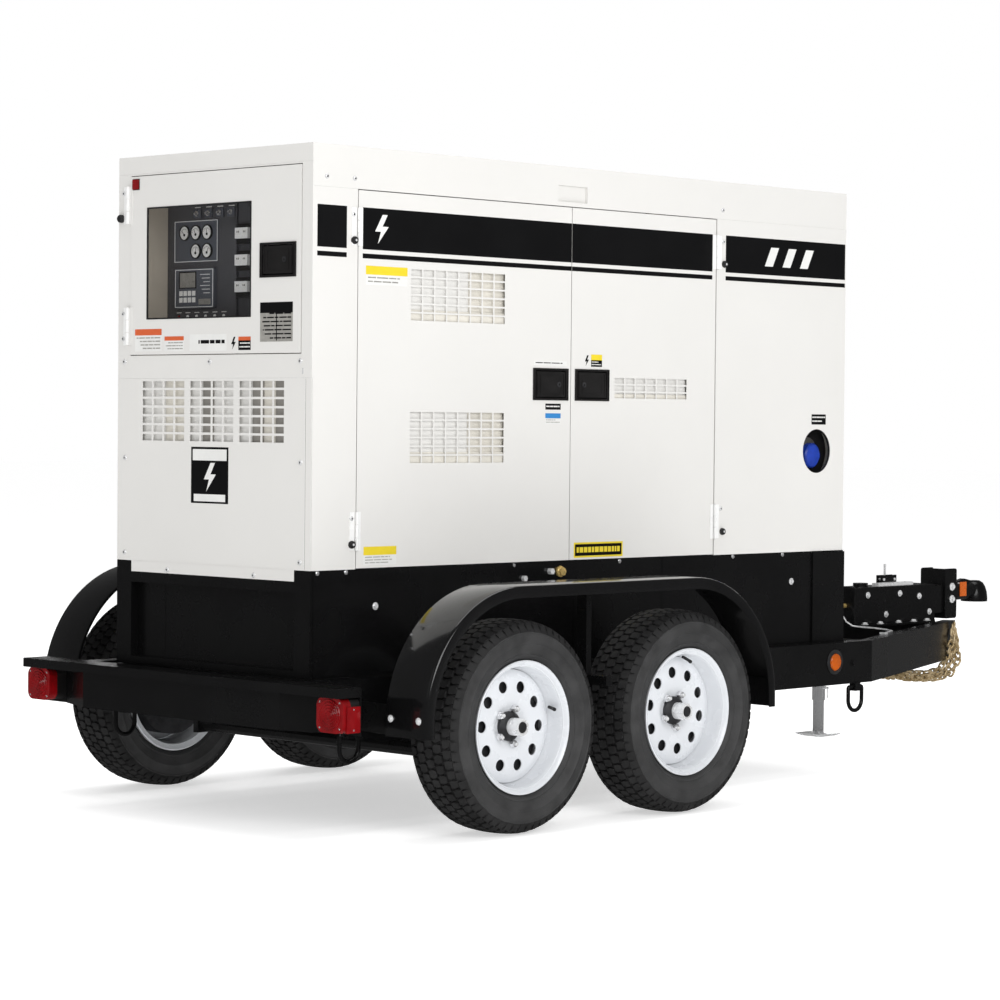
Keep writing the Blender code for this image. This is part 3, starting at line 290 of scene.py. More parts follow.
add_material("engine", (0.085, 0.09, 0.10), 0.45, metal=0.3, vary=0.2, scale=12.0,
        grain=(0.0012, 220.0))
add_material("alternator", (0.14, 0.15, 0.165), 0.42, metal=0.25, vary=0.15, scale=12.0,
        grain=(0.0010, 200.0))
add_material("radiator", (0.06, 0.06, 0.065), 0.5, metal=0.7, vary=0.15, scale=20.0)
add_waves("radiator", 70.0, 0.002, "Z")
add_material("exhaust", (0.34, 0.31, 0.28), 0.42, metal=0.9, vary=0.25, scale=16.0,
        grain=(0.0008, 160.0), other=(0.42, 0.34, 0.26))
add_material("tank", (0.05, 0.05, 0.052), 0.5, vary=0.15, scale=14.0, grain=(0.0008, 260.0))


# Mesh builder

def grid_lines(low, high, holes, start, end):
    """The sorted coordinates that a sheet's holes need on one axis."""
    marks = {low, high}
    for hole in holes:
        marks.update(m for m in (hole[start], hole[end]) if low < m < high)
    return sorted(marks)


class Piece:
    """One object, put together from closed shapes that may each have a material of their own."""

    def __init__(self, name):
        self.name = name
        self.bm = bmesh.new()
        self.materials = []

    def index(self, name):
        if name not in self.materials:
            self.materials.append(name)
        return self.materials.index(name)

    def faces(self, points, faces, mat):
        """Adds a closed shape from its points and its faces."""
        number = self.index(mat)
        verts = [self.bm.verts.new((p[0] + SHIFT, p[1], p[2])) for p in points]
        made = []
        for face in faces:
            new = self.bm.faces.new([verts[i] for i in face])
            new.material_index = number
            made.append(new)
        return verts, made

    def soften(self, made, bevel, segments=2):
        if bevel:
            edges = list({e for f in made for e in f.edges})
            sharp = [e for e in edges if len(e.link_faces) == 2 and e.calc_face_angle() > radians(30)]
            bmesh.ops.bevel(self.bm, geom=sharp, offset=bevel, segments=segments, affect="EDGES",
                    profile=0.5, clamp_overlap=True)

    def box(self, low, high, mat, bevel=0.0, turn=None):
        """A block, with its edges rounded, turned about its middle if turn is a matrix."""
        low, high = Vector(low), Vector(high)
        low, high = Vector(map(min, low, high)), Vector(map(max, low, high))
        middle, half = (low + high) / 2, (high - low) / 2
        corners = []
        for x in (-1, 1):
            for y in (-1, 1):
                for z in (-1, 1):
                    corner = Vector((x * half.x, y * half.y, z * half.z))
                    corners.append(middle + (turn @ corner if turn else corner))
        faces = ((0, 1, 3, 2), (4, 6, 7, 5), (0, 4, 5, 1), (2, 3, 7, 6), (0, 2, 6, 4), (1, 5, 7, 3))
        made = self.faces(corners, faces, mat)[1]
        self.soften(made, bevel)

    def lathe(self, profile, centre, axis, mat, steps=48, start=0.0):
        """Turns (radius, height) points about an axis. The ends close where the radius is 0."""
        centre = Vector(centre)
        turn = Vector(axis).to_track_quat("Z", "Y").to_matrix()
        rings, points = [], []
        for radius, height in profile:
            count = 1 if radius < 1e-7 else steps
            rings.append(range(len(points), len(points) + count))
            for i in range(count):
                angle = start + 2 * pi * i / steps
                points.append(centre + turn @ Vector((radius * cos(angle), radius * sin(angle),
                        height)))
        pairs = list(zip(rings, rings[1:]))
        if len(rings[0]) > 1 or len(rings[-1]) > 1:
            pairs.append((rings[-1], rings[0]))
        faces = []
        for a, b in pairs:
            if len(a) == 1 and len(b) == 1:
                continue
            for i in range(steps):
                j = (i + 1) % steps
                face = [a[i % len(a)], a[j % len(a)], b[j % len(b)], b[i % len(b)]]
                faces.append(list(dict.fromkeys(face)))
        return self.faces(points, faces, mat)[1]

    def rod(self, radius, low, high, centre, axis, mat, steps=48):
        """A plain cylinder between two heights on an axis."""
        self.lathe(((0, low), (radius, low), (radius, high), (0, high)), centre, axis, mat, steps)

    def prism(self, outline, plane, low, high, mat, bevel=0.0):
        """Extrudes a flat outline. plane names its two axes, such as "xz"."""
        axes = ["xyz".index(c) for c in plane]
        third = 3 - sum(axes)
        points = []
        for depth in (low, high):
            for u, v in outline:
                point = [0.0, 0.0, 0.0]
                point[axes[0]], point[axes[1]], point[third] = u, v, depth
                points.append(point)
        n = len(outline)
        faces = [list(range(n)), list(range(n, 2 * n))]
        faces += [[i, (i + 1) % n, n + (i + 1) % n, n + i] for i in range(n)]
        made = self.faces(points, faces, mat)[1]
        self.soften(made, bevel)

    def sheet(self, plane, a, b, depth, holes, mat):
        """A flat sheet with rectangular holes. plane is "xz" or "yz", depth is along the third axis."""
        us = grid_lines(*a, holes, 0, 1)
        vs = grid_lines(*b, holes, 2, 3)
        axes = ["xyz".index(c) for c in plane]
        third = 3 - sum(axes)

        def solid(i, j):
            if not (0 <= i < len(us) - 1 and 0 <= j < len(vs) - 1):
                return False
            u, v = (us[i] + us[i + 1]) / 2, (vs[j] + vs[j + 1]) / 2
            return not any(h[0] < u < h[1] and h[2] < v < h[3] for h in holes)

        points, known, faces = [], {}, []

        def at(i, j, side):
            key = (i, j, side)
            if key not in known:
                point = [0.0, 0.0, 0.0]
                point[axes[0]], point[axes[1]], point[third] = us[i], vs[j], depth[side]
                known[key] = len(points)
                points.append(point)
            return known[key]

        for i in range(len(us) - 1):
            for j in range(len(vs) - 1):
                if not solid(i, j):
                    continue
                corners = ((i, j), (i + 1, j), (i + 1, j + 1), (i, j + 1))
                for side in (0, 1):
                    faces.append([at(*corner, side) for corner in corners])
                for k, (di, dj) in enumerate(((0, -1), (1, 0), (0, 1), (-1, 0))):
                    if not solid(i + di, j + dj):
                        c, d = corners[k], corners[(k + 1) % 4]
                        faces.append([at(*c, 0), at(*d, 0), at(*d, 1), at(*c, 1)])
        self.faces(points, faces, mat)

    def tube(self, route, radius, mat, sides=10, closed=False):
        """A round bar along points, with flat ends."""
        route = [Vector(p) for p in route]
        count = len(route)
        points = []
        across = None
        for i, p in enumerate(route):
            before = route[i - 1] if i or closed else p
            after = route[(i + 1) % count] if i < count - 1 or closed else p
            ahead = (after - before).normalized()
            if across is None:
                across = ahead.orthogonal().normalized()
            across = (across - ahead * across.dot(ahead)).normalized()
            up = ahead.cross(across)
            for k in range(sides):
                angle = 2 * pi * k / sides
                points.append(p + radius * (cos(angle) * across + sin(angle) * up))
        faces = []
        for i in range(count if closed else count - 1):
            a, b = i * sides, (i + 1) % count * sides
            for k in range(sides):
                j = (k + 1) % sides
                faces.append([a + k, a + j, b + j, b + k])
        if not closed:
            faces += [list(range(sides)), list(range((count - 1) * sides, count * sides))]
        self.faces(points, faces, mat)

    def bolt(self, place, axis, mat="zinc", size=0.008, washer=True):
        """A hexagon head on a washer, its axis pointing out of the surface."""
        rise = 0.0
        if washer:
            self.rod(size * 1.5, 0, size * 0.2, place, axis, mat, 20)
            rise = size * 0.2
        head = ((0, rise), (size, rise), (size, rise + size * 0.55), (size * 0.86, rise + size * 0.72),
                (0, rise + size * 0.72))
        self.lathe(head, place, axis, mat, 6)

    def button(self, place, axis, mat="zinc", size=0.0085):
        """A button-head screw with a dark socket."""
        dome = [(size * cos(t), size * 0.62 * sin(t)) for t in (0.0, 0.4, 0.8, 1.15)]
        self.lathe([(0, 0)] + dome + [(size * 0.42, size * 0.57), (size * 0.40, size * 0.35),
                (0, size * 0.35)], place, axis, mat, 20)
        # The socket is a dark hexagon plug: painted shade standing in for the hole.
        self.rod(size * 0.41, size * 0.30, size * 0.40, place, axis, "dark", 6)

    def done(self, body, replaces=(), smooth=38.0):
        """Makes the object, rides it on its body and hides the CAD nodes that it stands for."""
        bmesh.ops.recalc_face_normals(self.bm, faces=self.bm.faces)
        mesh = bpy.data.meshes.new(self.name)
        self.bm.to_mesh(mesh)
        self.bm.free()
        for polygon in mesh.polygons:
            polygon.use_smooth = True
        mesh.set_sharp_from_angle(angle=radians(smooth))
        for name in self.materials:
            mesh.materials.append(MATERIALS[name])
        piece = bpy.data.objects.new(self.name, mesh)
        bpy.context.scene.collection.objects.link(piece)
        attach(piece, body)
        if replaces:
            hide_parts(*replaces)
        return piece


def arc(centre, radius, start, end, steps):
    """Points on an arc in a plane, angles in degrees."""
    angles = [radians(start + (end - start) * i / steps) for i in range(steps + 1)]
    return [(centre[0] + radius * cos(t), centre[1] + radius * sin(t)) for t in angles]


def rounded(low_u, high_u, low_v, high_v, radius, steps=4):
    """The outline of a rectangle with round corners."""
    outline = []
    for u, v, start in ((high_u - radius, low_v + radius, -90), (high_u - radius, high_v - radius, 0),
                        (low_u + radius, high_v - radius, 90), (low_u + radius, low_v + radius, 180)):
        outline += arc((u, v), radius, start, start + 90, steps)
    return outline


def cells(low_u, high_u, low_v, high_v, columns, rows, bar):
    """The holes of a punched grille: even cells with bars between them."""
    wide, tall = (high_u - low_u) / columns, (high_v - low_v) / rows
    return [
        (low_u + wide * i + bar / 2, low_u + wide * (i + 1) - bar / 2, low_v + tall * j + bar / 2,
                low_v + tall * (j + 1) - bar / 2)
        for i in range(columns)
        for j in range(rows)
    ]


# Marks and labels

def mark(piece, face, u, v, low, high, mat):
    """A thin plate on an outer face: ("side", -1 or 1) or ("rear", offset of the face)."""
    kind, where = face
    if kind == "side":
        piece.box((u[0], where * (BODY_HALF + low), v[0]), (u[1], where * (BODY_HALF + high), v[1]),
                mat)
    else:
        piece.box((where - high, u[0], v[0]), (where - low, u[1], v[1]), mat)


def outline_mark(piece, face, outline, low, high, mat):
    """A thin plate of any outline on an outer face."""
    kind, where = face
    if kind == "side":
        piece.prism(outline, "xz", where * (BODY_HALF + low), where * (BODY_HALF + high), mat)
    else:
        piece.prism(outline, "yz", where - high, where - low, mat)


BOLT_SHAPE = ((0.55, 1.0), (0.15, 0.42), (0.46, 0.42), (0.30, 0.0), (0.88, 0.60), (0.55, 0.60),
        (0.82, 1.0))


def power_sign(piece, face, u, v, low, high, mat):
    """A plain lightning stroke, the usual sign for electricity."""
    outline = [(u[0] + a * (u[1] - u[0]), v[0] + b * (v[1] - v[0])) for a, b in BOLT_SHAPE]
    outline_mark(piece, face, outline, low, high, mat)


def label(piece, face, u, v, base="label_white", head=None, rows=4, ink="label_grey", seed=1):
    """A sticker: its ground, a coloured head band, and broken lines where small print would be."""
    choose = random.Random(seed)
    mark(piece, face, u, v, 0.0, 0.0003, base)
    top = v[1]
    tall, wide = v[1] - v[0], u[1] - u[0]
    if head:
        top = v[1] - (0.28 if head == "label_orange" else 0.46) * tall
        mark(piece, face, u, (top, v[1]), 0.0002, 0.0005, head)
    pitch = (top - v[0]) / (rows + 0.6)
    for row in range(rows):
        z = top - pitch * (row + 0.9)
        start, end = u[0] + 0.05 * wide, u[1] - (0.05 + 0.3 * choose.random()) * wide
        while start < end:
            stop = min(end, start + (0.08 + 0.2 * choose.random()) * wide)
            mark(piece, face, (start, stop), (z, z + pitch * 0.34), 0.0002, 0.0005, ink)
            start = stop + 0.025 * wide


# Enclosure

DOOR_SHEET = 0.0016
DOOR_EDGE = 0.025
DOOR_Z = (0.8145, 1.9895)
DOOR_X = {"rear": (0.1915, 1.1645), "front": (1.1675, 1.909)}
HINGE_X = {"rear": 0.1885, "front": 1.912}
HINGE_Z = ((0.870, 0.991), (1.816, 1.935))
LATCH_Z = (1.347, 1.453)
LATCH_X = {"rear": (0.983, 1.153), "front": (1.186, 1.356)}
GRILLES = {
    "rear": ((0.418, 0.850, 1.139, 1.306, 8, 6), (0.418, 0.850, 1.590, 1.757, 8, 6)),
    "front": ((1.382, 1.762, 1.355, 1.429, 7, 3),),
}
STRIPES = {"rear": (0.210, 1.1645), "front": (1.1675, 1.8905)}
WIDE_STRIPE, THIN_STRIPE = (1.807, 1.937), (1.779, 1.794)


def stripes(piece, side, u):
    for v in (WIDE_STRIPE, THIN_STRIPE):
        mark(piece, ("side", side), u, v, 0.0, 0.0003, "vinyl")


def knuckles(piece, side, x, span):
    """The barrel of a hinge in three parts, with the ends of its pin."""
    y = side * (BODY_HALF + 0.0065)
    third = (span[1] - span[0]) / 3
    for i in range(3):
        low, high = span[0] + third * i + 0.0006, span[0] + third * (i + 1) - 0.0006
        piece.lathe(((0, low), (0.0048, low), (0.0056, low + 0.0008), (0.0056, high - 0.0008),
                (0.0048, high), (0, high)), (x, y, 0), UP, "hinge_white", 16)
    piece.rod(0.003, span[0] - 0.001, span[1] + 0.001, (x, y, 0), UP, "zinc", 12)


def latch_case(piece, face, u, v, depth):
    """The bezel of a flush latch and the pocket behind its paddle."""
    edge_u, edge_v = 0.012, 0.007
    holes = [(u[0] + edge_u, u[1] - edge_u, v[0] + edge_v, v[1] - edge_v)]
    kind, where = face
    plane = "xz" if kind == "side" else "yz"

    def out(rise):
        return where * (BODY_HALF + rise) if kind == "side" else where - rise

    piece.sheet(plane, u, v, (out(0.0), out(0.0016)), holes, "plastic")
    rim = [(u[0] + 0.004, u[1] - 0.004, v[0] + 0.003, v[1] - 0.003)]
    piece.sheet(plane, u, v, (out(0.0014), out(0.0030)), rim, "plastic")
    inner_u, inner_v = (u[0] + edge_u - 0.0015, u[1] - edge_u + 0.0015), (v[0] + edge_v - 0.0015,
            v[1] - edge_v + 0.0015)
    walls = [(inner_u[0] + 0.0015, inner_u[1] - 0.0015, inner_v[0] + 0.0015, inner_v[1] - 0.0015)]
    piece.sheet(plane, inner_u, inner_v, (out(-depth), out(0.001)), walls, "plastic")
    piece.sheet(plane, inner_u, inner_v, (out(-depth - 0.0015), out(-depth)), [], "plastic")


def door(side_name, side, place):
    """A side door: sheet with folded edges, punched grilles, lining, hinges and latch case."""
    name = f"door_{side_name}_{place}"
    piece = Piece(name + "_look")
    x, face = DOOR_X[place], ("side", side)
    latch = LATCH_X[place]
    holes = [(latch[0] + 0.011, latch[1] - 0.011, LATCH_Z[0] + 0.006, LATCH_Z[1] - 0.006)]
    for low_x, high_x, low_z, high_z, columns, rows in GRILLES[place]:
        holes += cells(low_x, high_x, low_z, high_z, columns, rows, 0.0055)
    piece.sheet("xz", x, DOOR_Z, (side * (BODY_HALF - DOOR_SHEET), side * BODY_HALF), holes, "ivory")
    inner = side * (BODY_HALF - DOOR_EDGE)
    edge = side * (BODY_HALF - DOOR_SHEET / 2)
    wall = 0.0016
    piece.sheet("xz", x, DOOR_Z, (inner, edge),
            [(x[0] + wall, x[1] - wall, DOOR_Z[0] + wall, DOOR_Z[1] - wall)], "ivory")
    lip = 0.022
    piece.sheet("xz", (x[0] + wall / 2, x[1] - wall / 2), (DOOR_Z[0] + wall / 2, DOOR_Z[1] - wall / 2),
                (inner, inner + side * wall), [(x[0] + lip, x[1] - lip, DOOR_Z[0] + lip,
                        DOOR_Z[1] - lip)], "ivory")
    back = side * (BODY_HALF - 0.0235)
    for low_x, high_x, low_z, high_z, columns, rows in GRILLES[place]:
        near = low_x + (high_x - low_x) * (0.62 if place == "rear" else 1.0)
        depth = BODY_HALF - 0.010
        piece.box((low_x - 0.006, side * depth, low_z - 0.006),
                (near, side * (depth - 0.0015), high_z + 0.006), "ivory")
        # Strips of the darker ivory above and below each grille: painted shade inside the door.
        for low, high in ((low_z - 0.0065, low_z - 0.005), (high_z + 0.005, high_z + 0.0065)):
            piece.box((low_x - 0.006, side * (BODY_HALF - 0.0014), low),
                    (high_x + 0.006, side * (BODY_HALF - 0.022), high), "ivory_painted_shade")
        shelf = low_z + (high_z - low_z) * 0.22
        piece.box((low_x - 0.006, side * (depth + 0.0005), low_z - 0.006),
                (high_x, side * (depth + 0.0040), shelf), "baffle", 0.001)
        piece.box((near + 0.001, side * (depth - 0.004), low_z - 0.006),
                (high_x + 0.006, side * (depth - 0.0055), high_z + 0.006), "baffle")
    cut_out = [(latch[0] - 0.02, latch[1] + 0.02, LATCH_Z[0] - 0.02, LATCH_Z[1] + 0.02)]
    piece.sheet("xz", (x[0] + 0.024, x[1] - 0.024), (DOOR_Z[0] + 0.024, DOOR_Z[1] - 0.024),
                (side * (BODY_HALF - 0.0245), back), cut_out, "foam")
    latch_case(piece, face, latch, LATCH_Z, 0.019)
    towards = 1 if place == "rear" else -1
    for span in HINGE_Z:
        knuckles(piece, side, HINGE_X[place], span)
        start = HINGE_X[place] + towards * 0.0045
        piece.box((start, side * (BODY_HALF - 0.0005), span[0]),
                (start + towards * 0.0155, side * (BODY_HALF + 0.0020), span[1]), "hinge_white", 0.0006)
    stripes(piece, side, STRIPES[place])
    if place == "rear":
        power_sign(piece, face, (0.250, 0.330) if side < 0 else (0.330, 0.250), (1.826, 1.918), 0.0002,
                0.0006, "label_white")
        label(piece, face, (0.224, 0.404), (1.698, 1.757), head="label_yellow", rows=2, seed=11)
        label(piece, face, (0.223, 0.365), (0.823, 0.881), head="label_yellow", rows=3, seed=12)
        label(piece, face, (0.987, 1.145), (1.463, 1.477), rows=1, seed=13, ink="vinyl")
        label(piece, face, (1.044, 1.118), (1.316, 1.336), base="vinyl", rows=1, ink="label_white",
                seed=14)
        label(piece, face, (1.044, 1.118), (1.268, 1.304), head="label_blue", rows=2, seed=15)
    else:
        label(piece, face, (1.189, 1.434), (0.821, 0.872), base="label_yellow", rows=0)
        mark(piece, face, (1.195, 1.428), (0.827, 0.866), 0.0002, 0.0005, "vinyl")
        choose = random.Random(21)
        start = 1.203
        while start < 1.415:
            stop = start + 0.008 + 0.014 * choose.random()
            mark(piece, face, (start, stop), (0.838, 0.856), 0.0004, 0.0007, "label_yellow")
            start = stop + 0.004
        label(piece, face, (1.266, 1.320), (1.462, 1.503), base="vinyl", head="label_yellow", rows=2,
                ink="label_white", seed=22)
        power_sign(piece, face, (1.231, 1.258), (1.464, 1.500), 0.0, 0.0004, "vinyl")
    piece.done(name, [name])


def paddle(name, body, face, u, v, keyhole):
    """The pull of a latch: a shallow dished pad with two upright ribs and a round lock."""
    piece = Piece(name + "_look")
    kind, where = face
    plane = "xz" if kind == "side" else "yz"

    def out(rise):
        return where * (BODY_HALF + rise) if kind == "side" else where - rise

    piece.prism(rounded(*u, *v, 0.004), plane, out(-0.0075), out(0.0016), "plastic", 0.0012)
    rib = 0.005
    for low in (u[0] + 0.003, u[1] - 0.003 - rib):
        piece.prism(rounded(low, low + rib, v[0] + 0.006, v[1] - 0.006, 0.0018), plane, out(0.0010),
                out(0.0037), "plastic", 0.0008)
    dish = (u[0] + 0.018, u[1] - 0.018, v[0] + 0.010, v[1] - 0.010)
    frame_holes = [(dish[0] + 0.003, dish[1] - 0.003, dish[2] + 0.003, dish[3] - 0.003)]
    piece.sheet(plane, dish[:2], dish[2:], (out(0.0010), out(0.0026)), frame_holes, "plastic")
    lock = (keyhole, out(0.0012), (v[0] + v[1]) / 2) if kind == "side" else (out(0.0012), keyhole,
            (v[0] + v[1]) / 2)
    axis = (0, where, 0) if kind == "side" else BACK
    piece.lathe(((0, 0), (0.0095, 0), (0.0095, 0.0014), (0.0082, 0.0022), (0, 0.0022)), lock, axis,
            "hub_iron", 24)
    # The keyhole is a dark disc: painted shade standing in for the slot.
    piece.rod(0.0028, 0.0018, 0.0024, lock, axis, "dark", 10)
    piece.done(body, [name])


def side_trim(side_name, side):
    """What is fixed to the posts and the front panel: screws, door stops, hinge leaves, stripes."""
    piece = Piece(f"trim_{side_name}")
    face, axis = ("side", side), (0, side, 0)

    def spot(x, z):
        return (x, side * (BODY_HALF + 0.0001), z)

    for x, z in ((0.057, 2.024), (0.174, 2.024), (1.944, 2.025), (0.170, 1.913), (0.170, 0.970),
            (1.948, 1.914), (1.948, 0.975)):
        piece.button(spot(x, z), axis)
    stop = ((0, 0), (0.012, 0), (0.012, 0.006), (0.0105, 0.010), (0.006, 0.012), (0, 0.012))
    for x, z in ((0.172, 1.833), (0.170, 0.889), (1.954, 1.835), (1.957, 0.894)):
        piece.lathe(stop, spot(x, z), axis, "soft_rubber", 24)
        piece.rod(0.004, 0.010, 0.0125, spot(x, z), axis, "zinc", 12)
    for place, away in (("rear", -1), ("front", 1)):
        x = HINGE_X[place] + away * 0.0062
        for span in HINGE_Z:
            piece.box((x, side * (BODY_HALF + 0.0002), span[0] + 0.001),
                    (x + away * 0.020, side * (BODY_HALF + 0.0022), span[1] - 0.001), "hinge_white",
                    0.0006)
    stripes(piece, side, (0.019, 0.142))
    stripes(piece, side, (1.963, 2.646))
    for i in range(3):
        start = 2.18 + 0.10 * i
        outline = ((start, 1.838), (start + 0.045, 1.838), (start + 0.080, 1.906),
                (start + 0.035, 1.906))
        outline_mark(piece, face, outline, 0.0002, 0.0005, "label_white")
    if side < 0:
        label(piece, face, (2.459, 2.542), (1.274, 1.311), base="vinyl", rows=2, ink="label_white",
                seed=31)
    piece.sheet("xz", (1.091, 1.247), (2.001, 2.067), (side * (BODY_HALF - 0.012),
            side * (BODY_HALF - 0.0105)), [], "ivory")
    for u, v in (((1.091, 1.0968), (2.001, 2.067)), ((1.2412, 1.247), (2.001, 2.067)),
            ((1.0968, 1.2412), (2.001, 2.0068)), ((1.0968, 1.2412), (2.0612, 2.067))):
        piece.box((u[0], side * (BODY_HALF - 0.011), v[0]), (u[1], side * (BODY_HALF - 0.0032), v[1]),
                "ivory")
    piece.done("trailer")


def side_panel_right():
    """The panel with the round hole over the filler. The hole's rolled edge is turned inward."""
    piece = Piece("side_panel_right_look")
    low_x, high_x, low_z, high_z = 1.915, BODY_FRONT, 0.8118, 1.9922
    cx, cz, radius, half = 2.490, 1.177, 0.080, 0.105
    outer, inner = -BODY_HALF, 0.0016 - BODY_HALF
    piece.sheet("xz", (low_x, high_x), (low_z, high_z), (outer, inner),
            [(cx - half, cx + half, cz - half, cz + half)], "ivory")
    steps = 48
    points, faces = [], []
    for depth in (outer, inner):
        for i in range(steps):
            t = 2 * pi * i / steps
            reach = half / max(abs(cos(t)), abs(sin(t)))
            points.append((cx + reach * cos(t), depth, cz + reach * sin(t)))
            points.append((cx + radius * cos(t), depth, cz + radius * sin(t)))
    for i in range(steps):
        a, b = 2 * i, 2 * ((i + 1) % steps)
        c, d = a + 2 * steps, b + 2 * steps
        faces += [[a, b, b + 1, a + 1], [c, c + 1, d + 1, d], [a + 1, b + 1, d + 1, c + 1],
                [a, c, d, b]]
    piece.faces(points, faces, "ivory")
    lip = ((radius - 0.0015, -0.010), (radius + 0.0012, -0.010), (radius + 0.0012, -0.001),
            (radius - 0.0015, -0.001))
    piece.lathe(lip, (cx, outer, cz), (0, -1, 0), "soft_rubber", 48)
    piece.box((low_x, -0.4405, low_z), (low_x + 0.002, inner + 0.0002, high_z - 0.001), "ivory")
    piece.done("trailer", ["side_panel_right"])


# Material of the plate behind each column of rear grille cells; the grey ones are painted shade.
BACKING_WITH_PAINTED_SHADE = {(1, 2): "painted_shade_and_seam_grey", (0, 2): "painted_shade_and_seam_grey", (0, 0): "painted_shade_and_seam_grey", (2, 1): "baffle",
        (2, 0): "baffle", (0, 1): "baffle"}


def rear_lower_panel():
    """The lower rear sheet, with three blocks of punched cells and a plain emblem frame."""
    piece = Piece("rear_lower_panel_look")
    holes = []
    for low in (-0.348, -0.109, 0.130):
        holes += cells(low, low + 0.218, 1.200, 1.399, 4, 7, 0.0075)
    piece.sheet("yz", (-BODY_HALF, BODY_HALF), (0.8118, 1.4042), (0.0, 0.0022), holes, "ivory")
    piece.box((0.0, -0.396, 0.7763), (0.0022, 0.396, 0.8122), "ivory")
    # A grey seam line where the panel meets the corner post, and beside it a thin white strip, a painted
    # highlight on the panel's edge.
    mark(piece, ("rear", 0.0), (-0.4448, -0.4432), (0.815, 1.402), 0.0, 0.0003, "painted_shade_and_seam_grey")
    mark(piece, ("rear", 0.0), (-0.4432, -0.4410), (0.815, 1.402), 0.0, 0.0006, "hinge_white")
    # A plate behind each column of cells; where it is grey it is painted shade seen through the cells.
    for i in range(12):
        cell, group = i // 3, i % 3
        u = -0.348 + 0.239 * group + 0.218 * (cell + 0.5) / 4
        mat = BACKING_WITH_PAINTED_SHADE.get((group, cell), "ivory")
        edge = 0.040 if cell == 3 else 0.0268
        piece.box((0.012, u - 0.0268, 1.192), (0.014, u + edge, 1.404), mat)
    piece.sheet("yz", (-0.084, 0.097), (1.007, 1.186), (-0.0004, 0.0), [], "vinyl")
    mark(piece, ("rear", 0.0), (-0.076, 0.089), (1.143, 1.179), 0.0002, 0.0006, "label_white")
    mark(piece, ("rear", 0.0), (-0.070, 0.083), (1.013, 1.036), 0.0002, 0.0006, "label_white")
    power_sign(piece, ("rear", 0.0), (0.046, -0.034), (1.045, 1.136), 0.0002, 0.0006, "label_white")
    for y, z in ((0.432, 1.146), (0.431, 0.837), (0.213, 0.788), (-0.208, 0.788), (-0.422, 0.836),
            (-0.423, 1.144)):
        piece.button((-0.0001, y, z), BACK)
    piece.done("trailer", ["rear_lower_panel"])


def rear_trim():
    """Screws, hinge leaves, the rubber stop and the liner that shows round the control door."""
    piece = Piece("rear_trim")
    axis = BACK
    for y, z in ((0.443, 2.007), (0.443, 1.615), (0.442, 1.534), (0.436, 1.459), (0.009, 1.457),
            (-0.419, 1.456)):
        piece.button((-0.0001, y, z), axis)
    piece.box((-0.0012, -0.434, 1.416), (0, -0.428, 1.434), "zinc", 0.0004)
    piece.lathe(((0, 0), (0.013, 0), (0.013, 0.010), (0.010, 0.014), (0, 0.014)),
            (-0.0001, 0.454, 1.926), axis, "soft_rubber", 24)
    for low, high in ((1.513, 1.636), (1.907, 2.029)):
        piece.box((-0.0022, 0.4238, low), (-0.0002, 0.4415, high), "hinge_white", 0.0006)
    # The liner is panel_wall, which glows faintly: painted light on the walls round the control door.
    for y in (-0.396, 0.392):
        piece.box((0.024, y, 1.476), (0.142, y + 0.004, 2.050), "panel_wall", 0.0006)
    for z in (1.4765, 2.0455):
        piece.box((0.024, -0.392, z), (0.142, 0.392, z + 0.004), "panel_wall", 0.0006)
    piece.done("trailer")


def control_door_trim():
    """The window's seal, the lamp, labels and the latch case of the control door."""
    piece = Piece("control_door_trim")
    face = ("rear", -0.0022)
    window = (-0.186, 0.320, 1.598, 1.954)
    piece.sheet("yz", (window[0] - 0.003, window[1] + 0.003), (window[2] - 0.003, window[3] + 0.003),
            (-0.0034, 0.0010),
                [(window[0] + 0.002, window[1] - 0.002, window[2] + 0.002,
                        window[3] - 0.002)], "soft_rubber")
    piece.prism(rounded(0.364, 0.396, 2.018, 2.050, 0.004), "yz", -0.0060, -0.0022, "red_lens", 0.001)
    piece.sheet("yz", (0.362, 0.398), (2.016, 2.052), (-0.0034, -0.0022),
            [(0.366, 0.394, 2.020, 2.048)], "dark")
    latch_case(piece, face, (-0.399, -0.231), (1.716, 1.824), 0.019)
    label(piece, face, (-0.385, -0.233), (1.517, 1.639), base="label_grey", rows=9, ink="vinyl",
            seed=41)
    mark(piece, face, (-0.385, -0.233), (1.606, 1.639), 0.0004, 0.0006, "vinyl")
    mark(piece, face, (-0.312, -0.308), (1.520, 1.606), 0.0004, 0.0006, "vinyl")
    label(piece, face, (-0.074, 0.106), (1.491, 1.544), rows=1, ink="vinyl", seed=42)
    label(piece, face, (0.246, 0.381), (1.492, 1.564), head="label_orange", rows=4, seed=43)
    label(piece, face, (0.135, 0.231), (1.491, 1.539), head="label_orange", rows=3, seed=44)
    label(piece, face, (-0.189, -0.131), (1.492, 1.534), base="vinyl", head="label_orange", rows=2,
            ink="label_white", seed=45)
    power_sign(piece, face, (-0.092, -0.122), (1.494, 1.534), 0.0, 0.0003, "vinyl")
    for low, high in ((1.513, 1.636), (1.907, 2.029)):
        third = (high - low) / 3
        for i in range(3):
            start, end = low + third * i + 0.0006, low + third * (i + 1) - 0.0006
            barrel = ((0, start), (0.0054, start), (0.0060, start + 0.0008), (0.0060, end - 0.0008),
                    (0.0054, end), (0, end))
            piece.lathe(barrel, (-0.0065, 0.417, 0.0), UP, "hinge_white", 16)
    piece.done("control_door")


GAUGE_SPOTS = ((0.298, 1.880), (0.2415, 1.880), (0.185, 1.880), (0.2415, 1.820), (0.185, 1.820))
PANEL_FACE, STRIP_FACE, CASE_FACE = 0.1402, 0.1480, 0.1262


